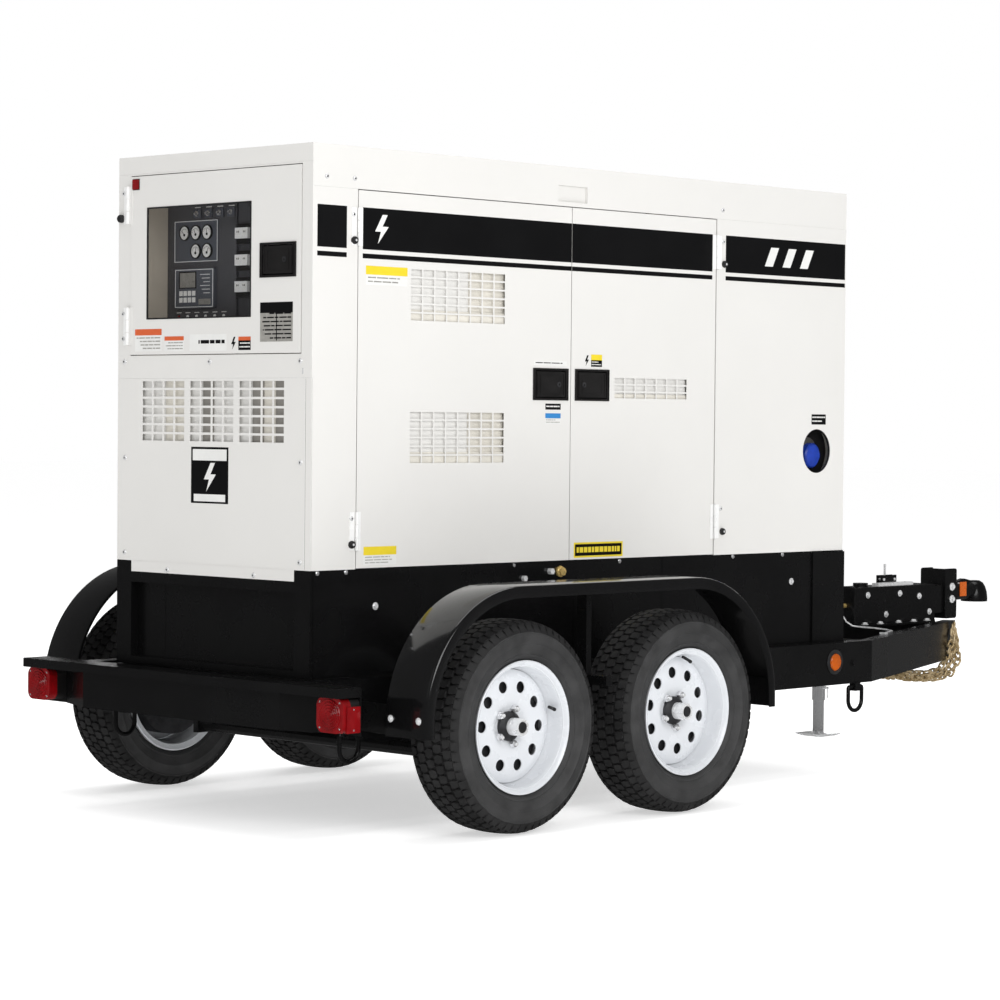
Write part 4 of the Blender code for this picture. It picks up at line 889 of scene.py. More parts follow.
def gauge(piece, y, z, sweep):
    """A round gauge: bezel, white dial, ticks, needle and hub."""
    x = PANEL_FACE - 0.0036
    bezel = ((0, 0), (0.0252, 0), (0.0252, 0.0045), (0.0236, 0.0060), (0.0218, 0.0060),
            (0.0212, 0.0030), (0, 0.0030))
    piece.lathe(bezel, (x, y, z), BACK, "plastic", 32)
    piece.rod(0.0211, 0.0028, 0.0034, (x, y, z), BACK, "dial", 32)
    piece.lathe(((0, 0.0033), (0.0046, 0.0033), (0.0041, 0.0048), (0, 0.0048)), (x, y, z - 0.006), BACK,
            "dark", 16)
    for k in range(9):
        t = radians(20 + 17.5 * k)
        c = Vector((x - 0.0035, y + 0.0175 * cos(t), z - 0.004 + 0.0175 * sin(t)))
        tick = Vector((0.0004, 0.0006, 0.0020))
        piece.box(c - tick, c + tick, "dark", turn=Matrix.Rotation(t - pi / 2, 3, "X"))
    t = radians(50 + sweep)
    c = Vector((x - 0.0042, y + 0.008 * cos(t), z - 0.006 + 0.008 * sin(t)))
    needle = Vector((0.0003, 0.0008, 0.009))
    piece.box(c - needle, c + needle, "dark", turn=Matrix.Rotation(t - pi / 2, 3, "X"))


def plate(piece, u, v, mat, border):
    """A flat instrument plate with a narrow raised border."""
    x = PANEL_FACE
    piece.sheet("yz", u, v, (x - 0.0036, x + 0.0002), [], mat)
    piece.sheet("yz", u, v, (x - 0.0046, x - 0.0034),
            [(u[0] + 0.002, u[1] - 0.002, v[0] + 0.002, v[1] - 0.002)], border)


def controller(piece):
    """The controller's case with its display, two rows of keys and broken lines of print."""
    x = CASE_FACE
    piece.prism(rounded(0.1415, 0.3365, 1.6345, 1.7635, 0.006), "yz", x, 0.1410, "instrument", 0.002)
    piece.sheet("yz", (0.1445, 0.3335), (1.6375, 1.7605), (x - 0.0010, x + 0.0006),
            [(0.1465, 0.3315, 1.6395, 1.7585)], "receptacle")
    piece.sheet("yz", (0.228, 0.312), (1.699, 1.753), (x - 0.0020, x + 0.0006),
            [(0.231, 0.309, 1.702, 1.750)], "dark")
    piece.box((x - 0.0008, 0.231, 1.702), (x + 0.0003, 0.309, 1.750), "label_grey")
    for row in range(2):
        for column in range(4):
            y, z = 0.3035 - 0.0215 * column, 1.683 - 0.0215 * row
            piece.box((x - 0.0022, y - 0.0075, z - 0.008), (x + 0.0006, y + 0.0075, z + 0.008), "dial",
                    0.0012)
    for row in range(6):
        z = 1.742 - 0.012 * row
        mark(piece, ("rear", x), (0.160, 0.208 - 0.008 * (row % 3)), (z, z + 0.0022), 0.0, 0.0003,
                "receptacle")
    mark(piece, ("rear", x), (0.156, 0.216), (1.646, 1.664), 0.0, 0.0003, "label_grey")


def control_panel():
    """The instrument panel: gauges, controller with keys and display, switches and receptacles."""
    piece = Piece("control_panel_look")
    # The dial and receptacle parts below glow faintly: painted light on the instruments.
    piece.box((PANEL_FACE, 0.0460, 1.470), (0.1990, 0.390, 2.044), "panel", 0.002)
    piece.box((STRIP_FACE, -0.390, 1.470), (0.1990, 0.0450, 2.044), "panel", 0.002)
    plate(piece, (0.1355, 0.350), (1.786, 1.919), "instrument", "receptacle")
    for i, (y, z) in enumerate(GAUGE_SPOTS):
        gauge(piece, y, z, 17 * i)
    controller(piece)
    for z in (1.699, 1.784, 1.870):
        piece.box((0.1330, -0.040, z - 0.034), (0.1490, 0.039, z + 0.030), "plastic", 0.002)
        piece.box((0.1185, -0.031, z - 0.017), (0.1340, 0.030, z + 0.017), "receptacle", 0.003)
        for y in (-0.016, 0.015):
            piece.box((0.1180, y - 0.011, z - 0.013), (0.1190, y + 0.011, z + 0.013), "dial", 0.0004)
            # Dark slots on each outlet face: painted shade standing in for the holes.
            for low, high in ((-0.005, -0.002), (0.002, 0.005)):
                piece.box((0.1176, y + low, z + 0.001), (0.1182, y + high, z + 0.007), "dark")
    for i in range(4):
        y = 0.239 - 0.056 * i
        plate(piece, (y - 0.020, y + 0.020), (1.926, 1.957), "instrument", "panel")
        knob = ((0, 0.0030), (0.009, 0.0030), (0.009, 0.006), (0.005, 0.007), (0.004, 0.015),
                (0, 0.016))
        piece.lathe(knob, (PANEL_FACE, y, 1.941), BACK, "chrome", 20)
        mark(piece, ("rear", PANEL_FACE), (y - 0.014, y + 0.014), (1.9605, 1.963), 0.0, 0.0004, "dial")
    for i in range(6):
        y = 0.330 - 0.045 * i
        mark(piece, ("rear", PANEL_FACE), (y - 0.012, y + 0.012), (1.620, 1.6225), 0.0, 0.0004, "dial")
        lamp = ((0, 0), (0.005, 0), (0.004, 0.004), (0, 0.005))
        piece.lathe(lamp, (PANEL_FACE, y, 1.609), BACK, "red_lens" if i == 0 else "dial", 16)
    for z in (1.50, 2.02):
        for y in (-0.37, 0.02, 0.37):
            piece.button((PANEL_FACE if y > 0.0455 else STRIP_FACE, y, z), BACK, size=0.006)
    piece.done("trailer", ["control_panel"])


def roof_trim():
    """Low screw heads along the roof's edges."""
    piece = Piece("roof_trim")
    top = BODY_TOP - 0.0002
    dome = ((0, -0.004), (0.007, -0.004), (0.007, -0.0012), (0.004, 0.0), (0, 0.0))
    for x in (0.04, 0.60, 1.20, 1.836, 2.208, 2.563):
        for y in (-0.455, 0.455):
            piece.lathe(dome, (x, y, top), UP, "zinc", 16)
    for y in (-0.2, 0.15):
        piece.lathe(dome, (0.016, y, top), UP, "zinc", 16)
    piece.done("trailer")


def fluid_tank():
    """The fluid tank with its slanted neck and a blue ribbed cap behind the round hole."""
    piece = Piece("fluid_tank_look")
    piece.box((2.25, -0.42, 0.8030), (2.63, -0.18, 1.08), "tank", 0.018)
    piece.box((2.42, -0.34, 1.05), (2.56, -0.22, 1.16), "tank", 0.015)
    start, end = Vector((2.49, -0.28, 1.12)), Vector((2.498, -0.422, 1.161))
    piece.tube([start, (start + end) / 2, end], 0.029, "tank", 28)
    axis = (0.06, -1.0, -0.06)
    cap = ((0, 0), (0.045, 0), (0.045, 0.020), (0.040, 0.026), (0.030, 0.028), (0, 0.028))
    piece.lathe(cap, end, axis, "cap_blue", 40)
    turn = Vector(axis).to_track_quat("Z", "Y").to_matrix()
    for i in range(18):
        t = 2 * pi * i / 18
        c = end + turn @ Vector((0.0445 * cos(t), 0.0445 * sin(t), 0.011))
        piece.box(c - Vector((0.0016, 0.0016, 0.009)), c + Vector((0.0016, 0.0016, 0.009)), "cap_blue",
                turn=turn)
    piece.box((2.462, -0.4508, 1.152), (2.534, -0.4440, 1.170), "cap_blue", 0.002)
    # A dark ring behind the round hole: painted shade of the space round the filler neck.
    piece.lathe(((0.050, 0), (0.104, 0), (0.104, 0.002), (0.050, 0.002)), (2.490, -0.428, 1.177),
            (0, -1, 0), "dark", 48)
    piece.done("trailer", ["fluid_tank"])


EDGE_BEVEL = 0.0009


def dress(node, mat, bevel=EDGE_BEVEL):
    """Gives a CAD node its material and softens its edges."""
    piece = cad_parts[node]
    piece.data.materials.clear()
    piece.data.materials.append(MATERIALS[mat])
    for polygon in piece.data.polygons:
        polygon.material_index = 0
    if bevel:
        round_off = piece.modifiers.new("edges", "BEVEL")
        round_off.width = bevel
        round_off.segments = 2
        round_off.limit_method = "ANGLE"
        round_off.angle_limit = radians(35)
        round_off.harden_normals = False


# Running gear

def arch(offset):
    """The side view of a fender, offset inward, from the rear end round to the front end."""
    radius = 0.412 - offset
    line = [(0.462 - radius, 0.3245), (0.462 - radius, 0.345)]
    line += arc((0.462, 0.360), radius, 180, 90, 24)
    line += [(0.462 + (1.290 - 0.462) * i / 6, 0.360 + radius) for i in range(1, 6)]
    line += arc((1.290, 0.360), radius, 90, 0, 24)
    return line + [(1.290 + radius, 0.345), (1.290 + radius, 0.3245)]


def fender(side_name, side):
    """A rolled fender: one section swept along the arch, with a rounded lip on its outer edge."""
    piece = Piece(f"fender_{side_name}_look")
    section = [(0.7572, 0.010), (0.7572, 0.0006), (0.7590, 0.0), (0.9215, 0.0), (0.9270, 0.0013),
            (0.9305, 0.0048), (0.9318, 0.010),
               (0.9318, 0.0365), (0.9300, 0.0378), (0.9286, 0.0365), (0.9286, 0.0105), (0.9272,
                       0.0070), (0.9245, 0.0046), (0.9200, 0.0036), (0.7604, 0.0036), (0.7604, 0.010)]
    rings = [arch(offset) for _, offset in section]
    count, steps = len(section), len(rings[0])
    points = [(rings[j][i][0], side * section[j][0], rings[j][i][1]) for i in range(steps)
            for j in range(count)]
    faces = [list(range(count)), list(range((steps - 1) * count, steps * count))]
    for i in range(steps - 1):
        for j in range(count):
            k = (j + 1) % count
            faces.append([i * count + j, i * count + k, (i + 1) * count + k, (i + 1) * count + j])
    piece.faces(points, faces, "black_fender")
    for y in (0.780, 0.900):
        piece.bolt((0.0502, side * y, 0.379), BACK, size=0.0075)
    piece.bolt((1.7018, side * 0.900, 0.379), (1, 0, 0), "zinc", 0.0065)
    piece.done("trailer", [f"fender_{side_name}"], smooth=60.0)


TREAD_RIBS = ((-0.0700, 0.0255), (-0.0350, 0.0310), (0.0, 0.0310), (0.0350, 0.0310), (0.0700, 0.0255))
PITCHES = 62


def tread_radius(w):
    """The radius of the crown at a distance from the middle of the tread."""
    flat = 0.336 * cos(pi / 24) - 0.0002
    return flat - 0.9 * w * w - max(0.0, abs(w) - 0.066) ** 2 * 16


def tyre(name, side, centre_x, turn):
    """A tyre: carcass, five staggered ribs of blocks, shoulder lugs and fine rings on the sidewall."""
    piece = Piece(name + "_look")
    centre = Vector((centre_x, side * WHEEL_MID, AXLE_Z))
    floor = 0.008
    half = [(tread_radius(w) - floor, w) for w in (0.0, 0.02, 0.04, 0.055, 0.068, 0.078, 0.0855)]
    half += [(0.306, 0.0930), (0.296, 0.0965), (0.2945, 0.0985), (0.2915, 0.0985), (0.290, 0.0975),
            (0.275, 0.1008), (0.262, 0.1012),
             (0.2605, 0.1022), (0.2580, 0.1022), (0.2565, 0.1008), (0.240, 0.0975), (0.2285,
                     0.0925), (0.2270, 0.0935), (0.2245, 0.0932),
             (0.2235, 0.0905), (0.216, 0.0845), (0.2105, 0.0780), (0.2090, 0.0740), (0.1925, 0.0725)]
    profile = list(reversed([(r, -w) for r, w in half[1:]])) + half
    carcass = piece.lathe(profile, centre, (0, side, 0), "tyre", 96)
    # Carcass faces within 0.300 of the axle take the lighter sidewall copy: painted light on the flank.
    flank = piece.index("sidewall")
    for face in carcass:
        middle = face.calc_center_median()
        if hypot(middle.x - SHIFT - centre.x, middle.z - centre.z) < 0.300:
            face.material_index = flank

    def at(angle, w, radius):
        return (centre.x + radius * cos(angle), centre.y + side * w, centre.z + radius * sin(angle))

    step = 2 * pi / PITCHES
    gap, skew = 0.055, 0.16
    for row, (middle, wide) in enumerate(TREAD_RIBS):
        shift = 0.5 * (row % 2)
        for pitch in range(PITCHES):
            a = step * (pitch + shift) + turn
            outline = [(-0.5 + gap, 0.0), (-0.5 + gap + skew, -0.5), (0.5 - gap - skew * 0.4, -0.5),
                       (0.5 - gap, 0.0), (0.5 - gap - skew, 0.5), (-0.5 + gap + skew * 0.4, 0.5)]
            points = []
            for level, shrink in ((floor + 0.001, 1.0), (0.0, 0.94)):
                for u, v in outline:
                    w = middle + wide * v * shrink
                    points.append(at(a + step * u * shrink, w, tread_radius(w) - level))
            n = len(outline)
            faces = [list(range(n)), list(range(n, 2 * n))]
            faces += [[i, (i + 1) % n, n + (i + 1) % n, n + i] for i in range(n)]
            piece.faces(points, faces, "tyre")
    for flank in (-1, 1):
        for pitch in range(PITCHES):
            a = step * (pitch + (0.25 if flank > 0 else 0.6)) + turn
            long = 1.0 if pitch % 2 else 0.62
            spans = (0.40, 0.38, 0.32)
            stations = ((tread_radius(0.0845) - 0.0005, 0.0845), (0.3135, 0.0925),
                    (0.3135 - 0.017 * long, 0.0925 + 0.0052 * long))
            points = []
            for (radius, w), span in zip(stations, spans):
                for u in (-span, span):
                    points.append(at(a + step * u, flank * w, radius))
                for u in (span, -span):
                    points.append(at(a + step * u, flank * (w - 0.006), radius - 0.006))
            faces = [[0, 1, 2, 3], [8, 9, 10, 11]]
            for s in (0, 4):
                faces += [[s + i, s + (i + 1) % 4, s + 4 + (i + 1) % 4, s + 4 + i] for i in range(4)]
            piece.faces(points, faces, "tyre")
    return piece.done(f"wheel_{name[5:]}", [name], smooth=32.0)


def disc_height(radius):
    """How far the wheel's disc stands out of its middle plane."""
    bulge = max(0.0, 1.0 - ((radius - 0.112) / 0.062) ** 2)
    return 0.020 + 0.010 * bulge


def wheel(name, side, centre_x, turn):
    """A modular steel wheel: rim, dished disc with round vents, hub, grease cap, nuts and valve."""
    piece = Piece(name + "_look")
    centre = Vector((centre_x, side * WHEEL_MID, AXLE_Z))
    axis = (0, side, 0)
    outer = [(0.2080, 0.0850), (0.2078, 0.0790), (0.2055, 0.0760), (0.1915, 0.0750), (0.1898, 0.0735),
            (0.1898, -0.0735), (0.2055, -0.0760), (0.2078, -0.0800), (0.2078, -0.0900)]
    inner = [(0.2040, -0.0930), (0.1990, -0.0900), (0.1930, -0.0860), (0.1862, -0.0840),
            (0.1862, -0.0560), (0.1760, -0.0420), (0.1760, 0.0100),
             (0.1800, 0.0180), (0.1862, 0.0300), (0.1862, 0.0640), (0.1900, 0.0720), (0.1960,
                     0.0800), (0.2000, 0.0850), (0.2040, 0.0870)]
    piece.lathe(outer + inner, centre, axis, "rim", 72)
    turn_to = Vector(axis).to_track_quat("Z", "Y").to_matrix()

    def at(radius, angle, height):
        return centre + turn_to @ Vector((radius * cos(angle), radius * sin(angle), height))

    low, high, ring = 0.1015, 0.1515, 0.1265
    hole = 0.0185
    square = ((1, 0), (1, 0.5), (1, 1), (0.5, 1), (0, 1), (-0.5, 1), (-1, 1), (-1, 0.5), (-1, 0),
            (-1, -0.5), (-1, -1), (-0.5, -1), (0, -1), (0.5, -1), (1, -1), (1, -0.5))
    sheet = 0.0035
    points, faces = [], []
    for k in range(10):
        middle = 2 * pi * (k + 0.5) / 10 + turn
        for layer in (0.0, sheet):
            for u, v in square:
                radius = ring + u * (high - low) / 2
                points.append(at(radius, middle + v * pi / 10, disc_height(radius) - layer))
            for scale, sink in ((1.16, 0.0), (1.0, 0.0012)):
                for i in range(16):
                    t = 2 * pi * i / 16
                    x, y = ring + hole * scale * cos(t), hole * scale * sin(t)
                    radius, angle = sqrt(x * x + y * y), atan2(y, x)
                    points.append(at(radius, middle + angle, disc_height(radius) - layer - sink))
        base = k * 96
        for i in range(16):
            j = (i + 1) % 16
            for layer in (0, 48):
                b = base + layer
                faces += [[b + i, b + j, b + 16 + j, b + 16 + i],
                        [b + 16 + i, b + 16 + j, b + 32 + j, b + 32 + i]]
            faces.append([base + 32 + i, base + 32 + j, base + 80 + j, base + 80 + i])
            if square[i][0] == square[j][0]:
                faces.append([base + i, base + j, base + 48 + j, base + 48 + i])
    piece.faces(points, faces, "rim")
    band = [(r, disc_height(r)) for r in (0.0335, 0.045, 0.060, 0.070, 0.080, 0.088, 0.095, 0.1017)]
    band = [(r, h - (0.004 if r < 0.07 else 0.0)) for r, h in band]
    piece.lathe(band + [(r, h - sheet) for r, h in reversed(band)], centre, axis, "rim", 48)
    band = [(0.1513, disc_height(0.1515)), (0.158, disc_height(0.158)), (0.164, disc_height(0.164)),
            (0.170, 0.0200), (0.1764, 0.0185)]
    piece.lathe(band + [(r, h - sheet) for r, h in reversed(band)], centre, axis, "rim", 48)
    barrel = ((0, -0.098), (0.050, -0.098), (0.050, 0.010), (0.046, 0.014), (0.046, 0.028),
            (0.038, 0.035), (0.0300, 0.038), (0, 0.038))
    piece.lathe(barrel, centre, axis, "hub_iron", 48)
    drum = ((0.049, -0.070), (0.152, -0.070), (0.152, 0.004), (0.146, 0.008), (0.049, 0.008))
    piece.lathe(drum, centre, axis, "hub_iron", 48)
    cap = ((0, 0.0335), (0.0275, 0.0335), (0.0275, 0.050), (0.0262, 0.0515), (0.0262, 0.054),
            (0.0275, 0.0555), (0.0275, 0.078), (0.0255, 0.0825),
           (0.0200, 0.0825), (0.0185, 0.0800), (0, 0.0800))
    piece.lathe(cap, centre, axis, "zinc", 48)
    piece.lathe(((0, 0.0795), (0.0180, 0.0795), (0.0165, 0.0822), (0.006, 0.0826), (0, 0.0826)), centre,
            axis, "soft_rubber", 32)
    for k in range(5):
        angle = 2 * pi * k / 5 + turn + 0.3
        spot = at(0.0572, angle, 0.0150)
        nut = ((0, 0), (0.0092, 0), (0.0130, 0.006), (0.0130, 0.018), (0.0105, 0.0215),
                (0.0075, 0.0220), (0, 0.0220))
        piece.lathe(nut, spot, axis, "chrome", 6)
        piece.lathe(((0, 0.021), (0.0060, 0.021), (0.0060, 0.0290), (0.0050, 0.0300), (0, 0.0300)),
                spot, axis, "zinc", 16)
    stem = [at(0.178, turn - 0.62, 0.030), at(0.172, turn - 0.62, 0.048), at(0.166, turn - 0.62, 0.062)]
    piece.tube(stem, 0.0050, "soft_rubber", 12)
    piece.tube([stem[2], stem[2] + 0.45 * (stem[2] - stem[1])], 0.0058, "soft_rubber", 12)
    return piece.done(f"wheel_{name[6:]}", [name])


def ring_bar(name, x, side):
    piece = Piece(name + "_look")
    y, bend, radius = side * 0.545, 0.040, 0.0074
    line = [(x - bend + 0.006, 0.312), (x - 0.018, 0.312), (x, 0.312), (x + 0.018, 0.312),
            (x + bend - 0.006, 0.312)]
    line += [(x + bend - 0.0018, 0.3102), (x + bend, 0.306)]
    line += arc((x, 0.264), bend, 0, -180, 20)
    line += [(x - bend, 0.306), (x - bend + 0.0018, 0.3102)]
    piece.tube([(u, y, v) for u, v in line], radius, "black", 14, closed=True)
    piece.done(name, [name])


def tail_light(side_name, side):
    """A square combination lamp: black base, ribbed red lens with four screws and a side marker."""
    piece = Piece(f"tail_light_{side_name}_look")
    inner, outer = 0.652, 0.7675
    low, high = 0.342, 0.448
    lens_face = -0.1355
    u = sorted((side * inner, side * outer))
    piece.prism(rounded(u[0] + 0.002, u[1] - 0.002, low + 0.002, high - 0.002, 0.020), "yz", -0.104,
            -0.0655, "plastic", 0.002)
    piece.prism(rounded(u[0], u[1], low, high, 0.026, 6), "yz", lens_face, -0.1030, "red_lens", 0.006)
    middle = (u[0] + u[1]) / 2
    ridges = [(0.0, 0.0)]
    for radius in (0.010, 0.019, 0.028, 0.037, 0.046):
        ridges += [(radius - 0.0045, 0.0004), (radius, 0.0036), (radius + 0.0015, 0.0008)]
    piece.lathe([(0.0, -0.004), (0.0475, -0.004)] + ridges[::-1], (lens_face, middle, 0.396), BACK,
            "red_lens", 48)
    for y in (u[0] + 0.014, u[1] - 0.014):
        for z in (low + 0.014, high - 0.014):
            piece.lathe(((0, -0.001), (0.0034, -0.001), (0.0030, 0.0004), (0, 0.0004)),
                    (lens_face, y, z), BACK, "chrome", 14)
    near, far = side * 0.7650, side * 0.7732
    piece.box((-0.1215, near, 0.3435), (-0.0685, far, 0.4225), "red_lens", 0.002)
    for z in (0.352, 0.414):
        piece.lathe(((0, -0.001), (0.0030, -0.001), (0.0026, 0.0002), (0, 0.0002)),
                (-0.095, side * 0.7732, z), (0, side, 0), "chrome", 12)
    piece.done("trailer", [f"tail_light_{side_name}"])


def marker_lamp(side_name, side):
    piece = Piece(f"marker_lamp_{side_name}_look")
    centre = (2.511, side * 0.5503, 0.409)
    grommet = ((0.029, 0), (0.0455, 0), (0.0455, 0.0020), (0.0435, 0.0045), (0.0380, 0.0060),
            (0.0325, 0.0050), (0.0300, 0.0030))
    piece.lathe(grommet, centre, (0, side, 0), "soft_rubber", 56)
    lens = ((0, 0), (0.0312, 0), (0.0310, 0.0045), (0.0285, 0.0080), (0.0220, 0.0104), (0.0120, 0.0116),
            (0, 0.0119))
    piece.lathe(lens, centre, (0, side, 0), "amber_lens", 56)
    piece.done("trailer", [f"marker_lamp_{side_name}"])


# Tongue

JACK = (3.12, 0, 0)


def jack():
    tube = Piece("jack_tube_look")
    bore = 0.0231
    wall = ((bore, 0.1945), (0.0254, 0.1945), (0.0254, 0.7905), (bore, 0.7905))
    tube.lathe(wall, JACK, UP, "chrome", 48)
    tube.lathe(((0, 0.788), (0.0335, 0.788), (0.0335, 0.858), (0.030, 0.8675), (0, 0.8675)), JACK, UP,
            "zinc", 40)
    tube.box((3.0755, -0.316, 0.4005), (3.1645, 0.316, 0.4395), "black", 0.002)
    collar = ((0.0255, 0.439), (0.036, 0.439), (0.036, 0.452), (0.0255, 0.455))
    tube.lathe(collar, JACK, UP, "black", 40)
    tube.done("trailer", ["jack_tube"])
    leg = Piece("jack_leg_look")
    leg.rod(0.0216, 0.060, 0.639, JACK, UP, "chrome", 40)
    corner = sqrt(2) * 0.0632
    foot = ((0, 0.0552), (0.72 * corner, 0.0552), (corner, 0.0635), (corner, 0.0665),
            (0.72 * corner, 0.0600), (0, 0.0600))
    leg.lathe(foot, JACK, UP, "zinc", 4, pi / 4)
    gusset = [(3.098, 0.0595), (3.142, 0.0595), (3.1415, 0.064), (3.0985, 0.064)]
    leg.prism(gusset, "xz", -0.024, 0.024, "zinc", 0.001)
    leg.done("jack_leg", ["jack_leg"])
    crank = Piece("jack_crank_look")
    crank.lathe(((0, 0.0225), (0.0073, 0.0225), (0.0073, 0.0745), (0.0060, 0.0755), (0, 0.0755)),
            (3.12, 0, 0.825), (0, 1, 0), "zinc", 24)
    crank.prism(rounded(3.1105, 3.1295, 0.8155, 0.9745, 0.009), "xz", 0.0662, 0.0718, "zinc", 0.001)
    grip = ((0, 0.0710), (0.0085, 0.0710), (0.0115, 0.0780), (0.0100, 0.1100), (0.0118, 0.1500),
            (0.0090, 0.1640), (0, 0.1648))
    crank.lathe(grip, (3.12, 0, 0.963), (0, 1, 0), "plastic", 28)
    crank.done("jack_crank", ["jack_crank"])
    pin = Piece("jack_pin")
    pin.lathe(((0, 0), (0.006, 0), (0.006, 0.010), (0.0045, 0.012), (0.0045, 0.022), (0, 0.022)),
            (3.12, -0.0252, 0.245), (0, -1, 0), "zinc", 20)
    pin.tube([(3.12, -0.045, 0.245), (3.12, -0.046, 0.225), (3.12, -0.045, 0.206)], 0.0022, "zinc", 8)
    pin.done("trailer")


def actuator_trim():
    """Bolts, fittings and the rigid brake line of the surge brake's case."""
    piece = Piece("actuator_trim")
    for x in (3.300, 3.400, 3.520, 3.620, 3.710):
        for side in (-1, 1):
            piece.bolt((x, side * 0.086, 0.4868), UP, size=0.0095)
    for x, z in ((3.350, 0.600), (3.470, 0.520), (3.560, 0.600), (3.690, 0.585), (3.760, 0.520)):
        for side in (-1, 1):
            piece.bolt((x, side * 0.0602, z), (0, side, 0), size=0.0085)
    piece.lathe(((0, 0), (0.0245, 0), (0.0285, 0.004), (0.0285, 0.011), (0.024, 0.0145), (0, 0.0145)),
            (3.38, 0, 0.6305), UP, "plastic", 36)
    piece.lathe(((0, 0), (0.009, 0), (0.009, 0.016), (0.006, 0.018), (0.006, 0.026), (0, 0.026)),
            (3.2682, -0.012, 0.560), BACK, "brass", 6)
    line = [(3.246, -0.012, 0.560), (3.238, -0.014, 0.556), (3.233, -0.020, 0.545),
            (3.231, -0.030, 0.520), (3.232, -0.045, 0.500), (3.240, -0.070, 0.484),
            (3.246, -0.110, 0.4816)]
    line += [(3.236, -0.180, 0.4816), (3.205, -0.262, 0.4816), (3.150, -0.330, 0.4816),
            (3.020, -0.385, 0.4816)]
    piece.tube(line, 0.0030, "zinc", 8)
    piece.box((3.015, -0.396, 0.4782), (3.035, -0.372, 0.4850), "zinc", 0.001)
    piece.box((3.270, -0.045, 0.628), (3.300, 0.045, 0.6345), "black", 0.001)
    piece.box((3.430, -0.052, 0.6300), (3.660, -0.020, 0.6440), "zinc", 0.0012)
    for x in (3.515, 3.585):
        piece.rod(0.006, -0.0165, 0.0165, (x, 0, 0.655), (0, 1, 0), "zinc", 6)
    piece.done("trailer")


def coupler():
    """The sliding coupler: slide, height channel with bolt holes, cast head, latch and reflector."""
    piece = Piece("coupler_look")
    piece.box((3.4505, -0.0523, 0.5112), (3.8670, 0.0523, 0.6238), "black", 0.0015)
    for side in (-1, 1):
        y = sorted((side * 0.0540, side * 0.0618))
        piece.prism(rounded(3.8655, 3.9445, 0.4865, 0.6895, 0.010), "xz", *y, "black", 0.0012)
    piece.box((3.8655, -0.0550, 0.4870), (3.8745, 0.0550, 0.6890), "black", 0.001)
    # Dark discs on the channel's sides: painted shade standing in for open bolt holes.
    for z in (0.505, 0.671):
        for side in (-1, 1):
            piece.rod(0.0080, 0, 0.0004, (3.925, side * 0.0618, z), (0, side, 0), "dark", 24)
    for z in (0.565, 0.615):
        piece.tube([(3.912, -0.0720, z), (3.912, 0.0720, z)], 0.0095, "zinc", 6)
        for side in (-1, 1):
            piece.rod(0.016, 0, 0.002, (3.912, side * 0.0619, z), (0, side, 0), "zinc", 28)
    piece.box((3.8740, -0.0445, 0.5605), (3.9740, 0.0445, 0.6245), "black", 0.004)
    neck = [(3.962, 0, 0.590), (3.990, 0, 0.590), (4.060, 0, 0.590), (4.130, 0, 0.589)]
    piece.tube(neck, 0.0350, "black", 36)
    head = ((0.0315, 0.5452), (0.0545, 0.5452), (0.0548, 0.560), (0.0520, 0.585), (0.0450, 0.607),
            (0.0360, 0.622), (0.0220, 0.6310), (0, 0.6318),
            (0, 0.6025), (0.0240, 0.6015), (0.0305, 0.590))
    piece.lathe(head, (4.155, 0, 0), UP, "black", 48)
    for side in (-1, 1):
        y = side * 0.0352
        piece.box((4.003, y, 0.5720), (4.047, y + side * 0.0030, 0.6300), "amber_tape", 0.0008)
    handle = [(4.010, 0.6150), (4.060, 0.6150), (4.112, 0.6260), (4.114, 0.6330), (4.070, 0.6415),
            (4.012, 0.6300)]
    piece.prism(handle, "xz", -0.0118, 0.0118, "black", 0.002)
    piece.rod(0.005, -0.016, 0.016, (4.026, 0, 0.622), (0, 1, 0), "zinc", 16)
    piece.done("coupler", ["coupler"])


def breakaway_lever():
    piece = Piece("breakaway_lever_look")
    x, z = 3.540, 0.664
    piece.lathe(((0, -0.0074), (0.0060, -0.0074), (0.0064, -0.0068), (0.0064, 0.0068), (0.0060, 0.0074),
            (0, 0.0074)), (x, 0, z), (0, 1, 0), "zinc", 28)
    outline = ((x - 0.0055, z), (x + 0.0035, z), (x + 0.0028, z + 0.030), (x + 0.0038, 0.7155),
            (x - 0.0058, 0.7155), (x - 0.0048, z + 0.030))
    piece.prism(outline, "xz", -0.0029, 0.0029, "zinc", 0.0006)
    piece.done("breakaway_lever", ["breakaway_lever"])


def chain_route(spread):
    """The middle line of a chain. Loops with more spread hang further back from the nose."""
    half = ((3.850, 0.117, 0.432), (3.872, 0.124, 0.380), (3.876, 0.120, 0.315), (3.850, 0.108, 0.268),
            (3.790, 0.092, 0.250),
            (3.700, 0.072, 0.247), (3.610, 0.052, 0.256), (3.540, 0.030, 0.272), (3.510, 0.010, 0.280))
    half = [(x - spread * min(1.0, (0.432 - z) / 0.1), y, z) if x > 3.7 else (x, y, z) for x, y,
            z in half]
    return [Vector((x, -y, z)) for x, y, z in half] + [Vector(p) for p in reversed(half)]


def walk(route, step):
    """Points at even distances along a route, with the direction there."""
    found, left, here = [], 0.0, route[0]
    for target in route[1:]:
        span = (target - here).length
        ahead = (target - here) / span
        while left <= span:
            found.append((here + ahead * left, ahead))
            left += step
        left -= span
        here = target
    return found


